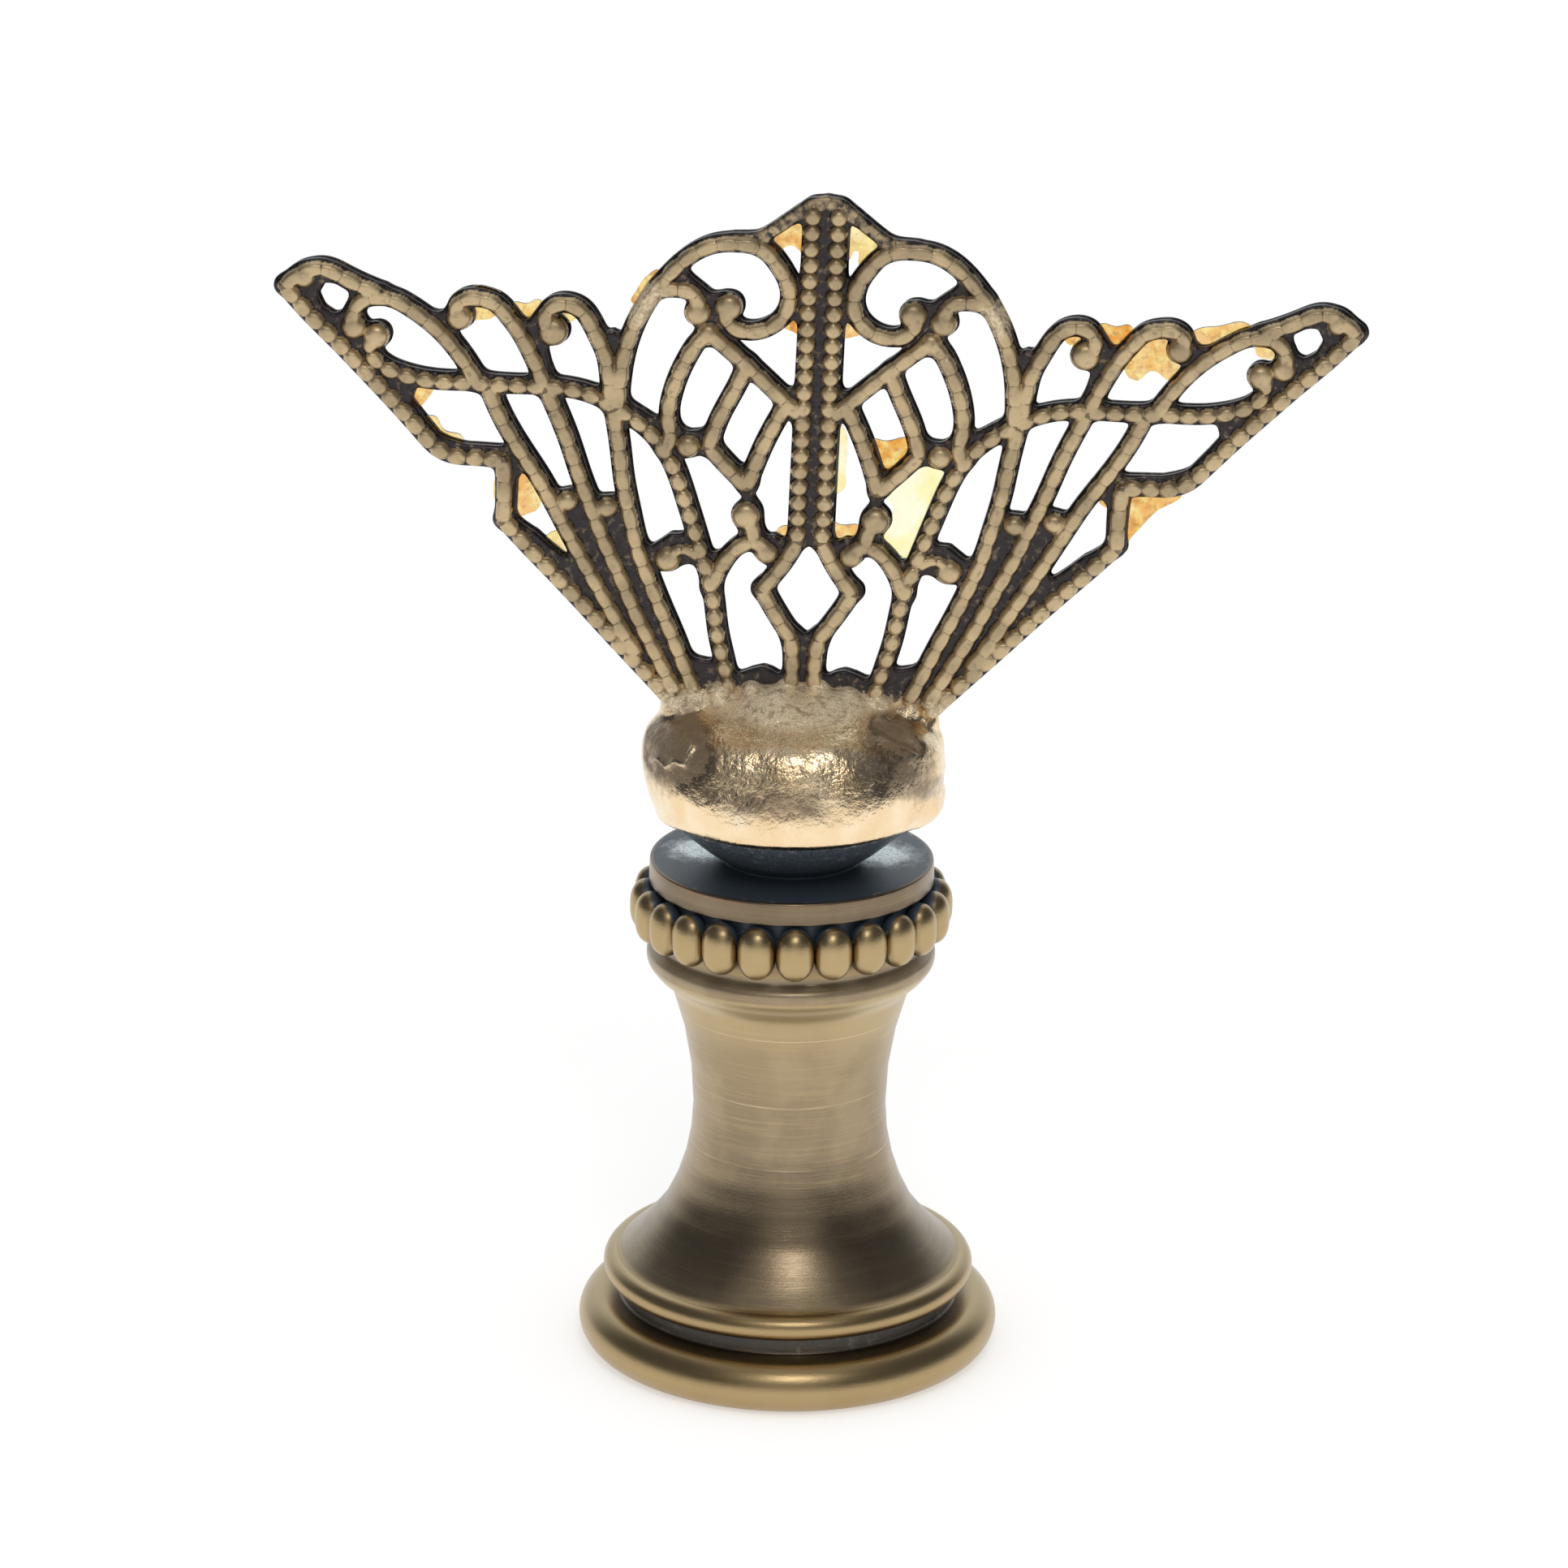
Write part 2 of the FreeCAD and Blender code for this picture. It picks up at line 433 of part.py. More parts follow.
def make_pedestal(doc, level):
    zero = as_size(0)
    socket = cell("stud_radius") + cell("stud_clearance")
    foot_centre = cell("foot_radius") - cell("foot_bead_radius")
    corners = [
        (zero, cell("thread_depth")),
        (cell("thread_radius"), cell("thread_depth")),
        (cell("thread_radius"), cell("thread_chamfer")),
        (cell("thread_radius") + cell("thread_chamfer"), zero),
        (foot_centre, zero),
        (foot_centre, level["foot_top"]),
        (cell("foot_groove_radius"), level["foot_top"]),
        (cell("foot_groove_radius"), level["skirt_under"]),
        (cell("skirt_under_radius"), level["skirt_under"]),
        (cell("skirt_lip_radius"), level["skirt_lip"]),
        (cell("skirt_waist_radius"), level["skirt_waist"]),
        (cell("neck_radius"), level["neck"]),
        (cell("neck_top_radius"), level["neck_top"]),
        (cell("cavetto_radius"), level["cavetto"]),
        (cell("band_radius"), level["band_low"]),
        (cell("band_radius"), level["band_top"]),
        (cell("core_radius"), level["core_low"]),
        (cell("core_radius"), level["collar_under"]),
        (cell("collar_under_radius"), level["collar_under"]),
        (cell("collar_top_radius"), level["collar_top"]),
        (cell("cup_foot_radius"), level["collar_top"]),
        (cell("cup_rim_radius"), level["rim"]),
        (cell("cup_rim_radius") - cell("cup_lip"), level["rim"]),
        (cell("dish_floor_radius"), level["dish_floor"]),
        (socket, level["dish_floor"]),
        (socket, level["socket_floor"]),
        (zero, level["socket_floor"]),
    ]
    arcs = {
        4: ("column", foot_centre),
        8: ("bulge_right", cell("skirt_lip_round")),
        9: ("bulge_left", cell("skirt_round")),
        10: ("level", level["neck"]),
        11: ("level", level["neck"]),
        12: ("tangent", None),
        20: ("bulge_right", cell("cup_round")),
    }
    body = turned_body(doc, "pedestal_base", corners, arcs)
    add_beads(doc, body, level)
    bind(body, Placement__Rotation__Angle=cell("bead_turn"))
    return body


def add_beads(doc, body, level):
    """Olive beads: a banded upright bead turned about its own middle, then repeated round the core."""
    middle = cell("bead_orbit_radius")
    top = level["beads"] + cell("bead_height") / 2
    bottom = level["beads"] - cell("bead_height") / 2
    steps = [
        (cell("bead_tip_radius"), as_size(0)),
        (cell("bead_shoulder_radius"), cell("bead_shoulder_height")),
        (cell("bead_bulge"), cell("bead_flank_height")),
    ]
    corners = [(middle, bottom)]
    corners += [(middle + out, bottom + rise) for out, rise in steps]
    corners += [(middle + out, top - rise) for out, rise in reversed(steps)]
    corners.append((middle, top))
    sketch = body.newObject("Sketcher::SketchObject", "bead_profile")
    sketch.AttachmentSupport = (origin_feature(body, "XZ_Plane"), [""])
    sketch.MapMode = "FlatFace"
    add_profile(sketch, corners, {})
    doc.recompute()
    bead = body.newObject("PartDesign::Revolution", "bead")
    bead.Profile = sketch
    bead.ReferenceAxis = (sketch, [f"Edge{len(corners)}"])
    bead.Angle = 360
    body.Tip = bead
    doc.recompute()
    ring = body.newObject("PartDesign::PolarPattern", "bead_ring")
    ring.Originals = [bead]
    ring.Axis = (origin_feature(body, "Z_Axis"), [""])
    ring.Angle = 360
    bind(ring, Occurrences=cell("bead_count"))
    body.Tip = ring
    doc.recompute()


def make_stud(doc, level):
    zero = as_size(0)
    chamfer = cell("stud_chamfer")
    radius = cell("stud_radius")
    low = level["socket_floor"]
    high = level["dish_floor"] + cell("stud_reach")
    corners = [
        (zero, low),
        (radius - chamfer, low),
        (radius, low + chamfer),
        (radius, high - chamfer),
        (radius - chamfer, high),
        (zero, high),
    ]
    return turned_body(doc, "threaded_stud", corners, {})


# Moulded knob

OVERCUT = 1.0


def add_ellipsoid(doc, name, radii, place):
    solid = doc.addObject("Part::Ellipsoid", name)
    bind(solid, Radius1=radii[2], Radius2=radii[0], Radius3=radii[1])
    for axis, size in zip("xyz", place):
        solid.setExpression(f"Placement.Base.{axis}", as_size(size).text)
    return solid


def add_lobe(doc, name, across, height):
    lobe = doc.addObject("Part::Sphere", name)
    bind(lobe, Radius=cell("lobe_radius"), Placement__Base__x=across, Placement__Base__z=height)
    return lobe


def join(doc, kind, name, *shapes):
    joined = doc.addObject(kind, name)
    if kind == "Part::Cut":
        joined.Base, joined.Tool = shapes
    else:
        joined.Shapes = list(shapes)
    return joined


def add_face_cutters(doc, waist):
    """Two slabs that slope in from the mass's waist and flatten its upper front and back."""
    front = doc.addObject("Part::Box", "knob_front_slab")
    front.Placement.Rotation = FreeCAD.Rotation(Vector(1, 0, 0), 90 - SIZES["knob_face_lean"])
    reach = cell("knob_radius") + OVERCUT
    bind(front, Length=reach * 2, Width=reach, Height=reach,
         Placement__Rotation__Angle=-cell("knob_face_lean") + 90,
         Placement__Base__x=-reach, Placement__Base__y=-cell("knob_radius"), Placement__Base__z=waist)
    back = doc.addObject("Part::Mirroring", "knob_back_slab")
    back.Source = front
    back.Normal = Vector(0, 1, 0)
    return [front, back]


def make_knob(doc, level, slot):
    zero = as_size(0)
    gap = cell("mould_clearance")
    waist = level["knob_waist"]
    crown = waist + cell("knob_crown_height")
    mass = turned_body(doc, "knob_mass", [
        (zero, waist - cell("knob_hem_drop")),
        (cell("knob_hem_radius"), waist - cell("knob_hem_drop")),
        (cell("knob_radius"), waist),
        (cell("knob_shoulder_radius"), waist + cell("knob_shoulder_height")),
        (cell("knob_crown_radius"), crown - cell("knob_crown_fall")),
        (zero, crown),
    ], {
        1: ("bulge_right", cell("knob_belly_round")),
        2: ("bulge_right", cell("knob_belly_round")),
        3: ("bulge_right", cell("knob_shoulder_round")),
    })
    ridge = add_ellipsoid(doc, "knob_ridge",
                          (cell("ridge_length") / 2, cell("ridge_width") / 2, cell("ridge_height")),
                          (cell("ornament_offset"), zero, waist + cell("ornament_rise")))
    drape = add_ellipsoid(doc, "knob_drape",
                          (cell("drape_length") / 2, cell("drape_width") / 2, cell("drape_height")),
                          (zero, zero, waist - cell("knob_hem_drop")))
    lobes = [add_lobe(doc, "knob_left_lobe", -cell("lobe_left_offset"), waist + cell("lobe_left_rise")),
             add_lobe(doc, "knob_right_lobe", cell("lobe_right_offset"), waist + cell("lobe_right_rise"))]
    slabs = join(doc, "Part::MultiFuse", "knob_slabs", *add_face_cutters(doc, waist))
    sloped = join(doc, "Part::Cut", "knob_sloped_mass", mass, slabs)
    blob = join(doc, "Part::MultiFuse", "knob_blob", sloped, ridge, drape, *lobes)
    envelope = turned_body(doc, "cup_envelope", [
        (zero, level["collar_top"]),
        (cell("cup_foot_radius") + gap, level["collar_top"]),
        (cell("cup_rim_radius") + gap, level["rim"]),
        (cell("cup_rim_radius") + gap, level["rim"] + gap),
        (zero, level["rim"] + gap),
    ], {1: ("bulge_right", cell("cup_round"))})
    shell = join(doc, "Part::Cut", "knob_over_cup", blob, envelope)
    plug = turned_body(doc, "knob_plug", [
        (zero, level["dish_floor"]),
        (cell("dish_floor_radius") - gap, level["dish_floor"]),
        (cell("cup_rim_radius") - cell("cup_lip") - gap, level["rim"]),
        (cell("cup_rim_radius") - cell("cup_lip") - gap, level["rim"] + cell("dish_depth")),
        (zero, level["rim"] + cell("dish_depth")),
    ], {})
    plugged = join(doc, "Part::MultiFuse", "knob_with_plug", shell, plug)
    stud_hole = doc.addObject("Part::Cylinder", "knob_stud_hole")
    bind(stud_hole, Radius=cell("stud_radius") + cell("stud_clearance"),
         Height=cell("stud_reach") + cell("stud_clearance") + OVERCUT,
         Placement__Base__z=level["dish_floor"] - OVERCUT)
    holes = join(doc, "Part::MultiFuse", "knob_holes", stud_hole, slot)
    return join(doc, "Part::Cut", "gilt_knob", plugged, holes)


# Drawn ornament: planar faces in the XZ plane

def drawing_scale():
    drawn_reach = max(-u for points in STRANDS.values() for u, v in points)
    return SIZES["tip_reach"] / drawn_reach


def drawn(point):
    scale = drawing_scale()
    return Vector(point[0] * scale, 0, point[1] * scale)


def curve_through(points):
    curve = Part.BSplineCurve()
    curve.interpolate(points)
    return curve


def curve_near(points):
    """A plain curve within the strand tolerance of its points, which passes through the end ones."""
    curve = Part.BSplineCurve()
    curve.approximate(Points=points, DegMin=3, DegMax=5, Tolerance=SIZES["strand_tolerance"], Continuity="C1")
    return curve


def ribbon(points, width):
    """A strip of even width along a smooth line, with round ends."""
    line = curve_through(points)
    stops = [line.parameter(point) for point in points]
    stops = sorted(stops + [(a + b) / 2 for a, b in zip(stops, stops[1:])])
    sides = {1: [], -1: []}
    for stop in stops:
        along = line.tangent(stop)[0]
        across = Vector(-along.z, 0, along.x)
        for side, offset in sides.items():
            offset.append(line.value(stop) + across * (side * width / 2))
    tail = points[0] - line.tangent(stops[0])[0] * (width / 2)
    head = points[-1] + line.tangent(stops[-1])[0] * (width / 2)
    outline = Part.Wire([
        curve_near(sides[1]).toShape(),
        Part.Arc(sides[1][-1], head, sides[-1][-1]).toShape(),
        curve_near(sides[-1][::-1]).toShape(),
        Part.Arc(sides[-1][0], tail, sides[1][0]).toShape(),
    ])
    return Part.Face(outline)


def disc(centre, radius):
    return Part.Face(Part.Wire(Part.Circle(centre, Vector(0, -1, 0), radius).toShape()))


def polygon(points):
    return Part.Face(Part.makePolygon(points + points[:1]))


def smooth_patch(points):
    outline = Part.BSplineCurve()
    outline.interpolate(Points=points, PeriodicFlag=True)
    return Part.Face(Part.Wire(outline.toShape()))


def both_halves(faces):
    mirrored = [face.mirror(Vector(0, 0, 0), Vector(1, 0, 0)) for face in faces]
    return faces + mirrored


def merged(faces):
    return faces[0].fuse(faces[1:]).removeSplitter()


def strand_faces():
    scale = drawing_scale()
    width = SIZES["strand_width"] * scale
    faces = [ribbon([drawn(point) for point in points], width) for points in STRANDS.values()]
    faces += [disc(drawn((u, v)), radius * scale) for u, v, radius in BOSSES.values()]
    return both_halves(faces)


def root_outline():
    half = ROOT_TOP + ROOT_SIDE + [ROOT_FLOOR]
    other = [(-u, v) for u, v in half[::-1] if u != 0]
    return [drawn(point) for point in half + other]


def ground_faces():
    hole = smooth_patch([drawn(point) for point in TIP_HOLE])
    faces = []
    for name, points in GROUNDS.items():
        face = polygon([drawn(point) for point in points])
        faces.append(face.cut(hole) if name == "tip" else face)
    return both_halves(faces) + [polygon(root_outline())]


def add_planar(doc, name, shape):
    planar = doc.addObject("Part::Feature", name)
    planar.Shape = shape
    return planar


def add_layer(doc, name, face, thickness, side):
    layer = doc.addObject("Part::Extrusion", name)
    layer.Base = face
    layer.DirMode = "Custom"
    layer.Dir = Vector(0, side, 0)
    layer.Solid = True
    bind(layer, LengthFwd=thickness)
    return layer


def place_ornament(obj, level, depth, shift):
    obj.Placement.Rotation = FreeCAD.Rotation(Vector(0, 1, 0), SIZES["ornament_lean"])
    bind(obj, Placement__Rotation__Angle=cell("ornament_lean"),
         Placement__Base__x=cell("ornament_offset") + shift, Placement__Base__y=depth,
         Placement__Base__z=level["knob_waist"] + cell("ornament_rise"))


def make_sheets(doc, level):
    """Two stamped sheets, back to back: raised strands over a thinner ground."""
    strands = add_planar(doc, "strand_lines", merged(strand_faces()))
    grounds = add_planar(doc, "ground_fields", merged(ground_faces()))
    sheets = []
    for name, side, shift in (("front_filigree", -1, as_size(0)), ("back_filigree", 1, cell("back_shift"))):
        raised = add_layer(doc, name + "_strands", strands, cell("sheet_thickness"), side)
        ground = add_layer(doc, name + "_ground", grounds, cell("ground_thickness"), side)
        sheet = join(doc, "Part::MultiFuse", name, raised, ground)
        sheet.Refine = True
        place_ornament(sheet, level, cell("glue_gap") / 2 * side, shift)
        sheets.append(sheet)
    return sheets


def make_webs(doc, level):
    faces = [polygon([drawn(point) for point in points]) for points in WEBS.values()]
    films = add_planar(doc, "web_fields", Part.makeCompound(faces))
    webs = add_layer(doc, "resin_webs", films, cell("glue_gap"), 1)
    place_ornament(webs, level, -cell("glue_gap") / 2, as_size(0))
    return webs


def make_slot(doc, level):
    """Space for the roots of both sheets in the knob, a little wider than they are all round."""
    clearance = SIZES["slot_clearance"] / drawing_scale()
    margin = SIZES["strand_width"] / 2 + SIZES["back_shift"] / drawing_scale() + clearance
    middle, corner, side = SLOT_TOP
    half = [middle, (corner[0] - margin, corner[1])]
    half += [(u - margin, v - margin) for u, v in (side, ROOT_SIDE[0], ROOT_SIDE[1])]
    half.append((ROOT_FLOOR[0] - margin, ROOT_FLOOR[1] - clearance))
    other = [(-u, v) for u, v in half[::-1] if u != 0]
    field = add_planar(doc, "slot_field", polygon([drawn(point) for point in half + other]))
    depth = cell("glue_gap") + cell("sheet_thickness") * 2 + cell("slot_clearance") * 2
    slot = add_layer(doc, "knob_slot", field, depth, 1)
    place_ornament(slot, level, -depth / 2, as_size(0))
    return slot


def check_document(doc):
    for obj in doc.Objects:
        if "Invalid" in obj.State or "Error" in obj.State:
            raise RuntimeError(f"{obj.Name} failed: {obj.State}")


def export(node):
    shape = node.Shape
    if shape.isNull() or not shape.isValid() or not shape.Solids:
        raise RuntimeError(f"{node.Label} has no valid solid")
    shape.exportStep(f"parts/{node.Label}.step")
    print(node.Label, len(shape.Solids), "solids", round(shape.Volume, 2), "mm3", shape.BoundBox)


def main():
    os.makedirs("parts", exist_ok=True)
    doc = FreeCAD.newDocument("lamp_finial")
    make_sheet(doc)
    level = pedestal_levels()
    nodes = [make_pedestal(doc, level), make_stud(doc, level)]
    nodes += make_sheets(doc, level)
    nodes.append(make_webs(doc, level))
    nodes.append(make_knob(doc, level, make_slot(doc, level)))
    doc.recompute()
    check_document(doc)
    for node in nodes:
        node.Label = node.Name
        export(node)


main()
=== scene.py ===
import math

import bmesh
import bpy
import numpy as np
from mathutils import Matrix, Vector, noise


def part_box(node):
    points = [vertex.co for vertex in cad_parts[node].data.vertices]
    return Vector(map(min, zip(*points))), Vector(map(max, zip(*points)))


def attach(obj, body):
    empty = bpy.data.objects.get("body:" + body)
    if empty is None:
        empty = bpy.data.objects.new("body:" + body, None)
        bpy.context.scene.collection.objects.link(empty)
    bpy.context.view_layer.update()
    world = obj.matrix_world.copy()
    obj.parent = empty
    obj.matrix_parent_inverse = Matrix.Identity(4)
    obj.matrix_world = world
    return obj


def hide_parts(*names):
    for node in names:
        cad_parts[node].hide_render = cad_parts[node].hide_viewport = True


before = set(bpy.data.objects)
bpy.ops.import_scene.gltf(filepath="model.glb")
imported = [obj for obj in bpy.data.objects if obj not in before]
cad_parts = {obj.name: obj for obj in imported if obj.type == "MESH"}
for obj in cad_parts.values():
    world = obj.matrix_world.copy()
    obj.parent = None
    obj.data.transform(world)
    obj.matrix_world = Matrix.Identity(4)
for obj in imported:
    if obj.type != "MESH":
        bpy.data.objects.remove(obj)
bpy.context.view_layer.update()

# Lamp finial: looks for the turned pedestal, the gilded knob and the stamped openwork ornament.
# Shapes below are written in millimetres, as the part's source has them, and become metres in add_mesh.

MM = 0.001

# Camera, as the photograph was taken
CAMERA_DISTANCE = 300.0
CAMERA_ELEVATION = math.radians(19.02)
CAMERA_ROLL = math.radians(0.54)
CAMERA_TARGET = Vector((-0.41, 0.0, 28.65))
CAMERA_LENS = 143.85
CAMERA_SENSOR = 36.0
CAMERA_CLIP = 0.01

# Ornament: where its drawing lies. u runs right and v up along its spine. The back sheet is shifted a little
# to the right, and the faces of the two sheets lie this far from the middle.
ORNAMENT_ORIGIN = Vector((0.3, 0.0, 31.0))
ORNAMENT_LEAN = math.radians(2.2)
BACK_SHIFT = 0.12
FACE_DEPTH = 0.675

STRANDS = {
    "rib_upper": [(-25.0, 21.15), (-23.7, 19.75), (-22.5, 18.6), (-21.4, 17.5), (-19.8, 15.87),
                  (-18.3, 14.25), (-17.6, 13.6), (-17.0, 13.35), (-16.0, 13.28), (-14.6, 13.25)],
    "rib_step": [(-14.55, 13.2), (-14.45, 11.8), (-14.45, 10.3)],
    "rib_lower": [(-14.45, 10.3), (-13.6, 9.4), (-12.0, 7.8), (-10.9, 6.68), (-9.2, 4.9), (-7.5, 3.15),
                  (-6.45, 2.05), (-5.4, 0.9)],
    "fan_outer": [(-15.4, 16.7), (-14.75, 15.3), (-13.7, 13.6), (-12.75, 12.2), (-12.0, 10.9),
                  (-11.05, 9.2), (-10.1, 7.55), (-9.3, 6.2), (-8.7, 5.2), (-7.9, 4.0)],
    "fan_middle": [(-12.65, 16.7), (-11.5, 14.1), (-11.0, 12.7), (-10.35, 11.1), (-9.6, 9.3), (-8.85, 7.75),
                   (-8.1, 6.1), (-7.4, 4.75), (-6.65, 3.35), (-6.0, 2.2)],
    "fan_inner": [(-9.5, 15.9), (-9.15, 14.0), (-8.9, 12.4), (-8.55, 10.9), (-8.1, 9.2), (-7.55, 7.8),
                  (-6.9, 6.3), (-6.3, 5.0), (-5.65, 3.5), (-5.1, 2.3)],
    "long_arc": [(-20.7, 19.0), (-20.95, 18.3), (-20.45, 17.6), (-19.6, 17.2), (-17.9, 16.9), (-16.2, 16.9),
                 (-14.6, 16.86), (-12.15, 16.86), (-10.5, 16.55), (-8.95, 15.77), (-7.65, 14.8),
                 (-6.65, 13.4), (-5.9, 11.5), (-5.45, 10.2), (-5.0, 8.85), (-4.5, 7.2), (-4.3, 6.0),
                 (-4.1, 4.9), (-3.85, 3.95), (-3.4, 2.2)],
    "tip_scroll": [(-21.75, 19.2), (-21.8, 19.9), (-21.45, 20.55), (-20.8, 20.8), (-20.0, 20.75),
                   (-19.25, 20.4), (-17.9, 19.45), (-16.6, 18.0), (-15.9, 16.95)],
    "tip_cap": [(-25.0, 21.2), (-24.1, 21.9), (-23.2, 22.05), (-22.4, 21.75), (-21.4, 21.3), (-20.6, 21.0)],
    "loop_outer": [(-16.88, 20.05), (-16.95, 20.6), (-16.5, 20.95), (-15.9, 20.97), (-15.2, 20.77),
                   (-14.6, 20.2), (-14.05, 19.5), (-13.55, 18.65), (-13.2, 17.95), (-12.75, 16.9)],
    "loop_inner": [(-12.75, 19.7), (-12.8, 20.4), (-12.45, 20.8), (-11.85, 20.9), (-11.2, 20.64),
                   (-10.7, 20.0), (-10.3, 19.25), (-9.95, 18.45), (-9.8, 17.7), (-9.6, 16.3)],
    "big_scroll": [(-9.3, 16.1), (-9.25, 17.3), (-8.95, 19.2), (-8.15, 21.15), (-7.2, 22.5), (-6.6, 23.15),
                   (-5.9, 23.7), (-5.05, 24.07), (-4.1, 24.17), (-3.3, 24.1), (-2.65, 23.8), (-2.1, 23.2),
                   (-1.67, 22.5), (-1.5, 21.7), (-1.7, 20.9), (-2.2, 20.35), (-3.0, 20.0), (-4.0, 20.15),
                   (-4.4, 20.6), (-4.33, 21.27)],
    "crest": [(-4.2, 24.25), (-3.0, 24.5), (-2.34, 24.93), (-1.68, 25.44), (-0.85, 26.02), (0.1, 26.33)],
    "hook": [(-7.6, 21.8), (-6.5, 21.85), (-5.95, 21.65), (-5.75, 21.25), (-5.8, 20.75)],
    "bow": [(-5.15, 19.85), (-5.7, 19.35), (-6.15, 18.6), (-6.5, 17.8), (-6.8, 16.8), (-6.9, 15.6),
            (-6.8, 14.7), (-7.0, 14.15)],
    "diagonal": [(-5.15, 19.85), (-3.8, 18.75), (-2.5, 17.64), (-1.35, 16.6), (-0.8, 16.1)],
    "lozenge_left": [(-3.4, 18.3), (-3.8, 17.3), (-4.6, 15.55), (-4.95, 14.36)],
    "lozenge_low": [(-4.95, 14.36), (-4.3, 13.65), (-3.1, 12.5)],
    "lozenge_right": [(-1.4, 16.6), (-2.3, 14.75), (-3.1, 12.5)],
    "small_arch": [(-4.6, 7.4), (-4.15, 8.45), (-3.65, 9.2), (-3.0, 9.68), (-2.5, 9.75), (-1.9, 9.3)],
    "stem": [(-3.1, 11.1), (-2.75, 10.5), (-2.64, 9.8)],
    "stem_link_arm": [(-6.65, 8.75), (-6.3, 9.15), (-5.75, 9.25), (-5.25, 8.95)],
    "spine": [(-0.6, 26.0), (-0.6, 18.0), (-0.6, 9.9)],
    "diamond_upper": [(-0.6, 9.9), (-1.3, 8.6), (-2.15, 7.45)],
    "diamond_lower": [(-2.15, 7.45), (-1.4, 6.2), (-0.65, 5.1)],
    "diamond_stem": [(-0.65, 5.1), (-0.55, 4.2), (-0.55, 2.6)],
}

# Round bosses: u, v and radius.
BOSSES = {
    "comma_head": (-20.68, 18.95, 0.57),
    "tip_scroll_head": (-21.73, 19.35, 0.53),
    "tip_boss": (-24.1, 21.65, 0.48),
    "loop_outer_head": (-16.82, 20.03, 0.56),
    "loop_inner_head": (-12.43, 19.55, 0.64),
    "big_scroll_head": (-4.3, 21.12, 0.6),
    "hook_head": (-5.73, 20.78, 0.56),
    "node": (-5.2, 19.8, 0.5),
    "lozenge_link": (-5.92, 14.33, 0.52),
    "stem_head": (-3.06, 11.05, 0.62),
    "small_arch_head": (-2.0, 9.27, 0.5),
    "stem_link": (-6.65, 8.73, 0.56),
    "fan_outer_boss": (-11.47, 11.38, 0.47),
    "fan_inner_boss": (-9.6, 11.16, 0.47),
}

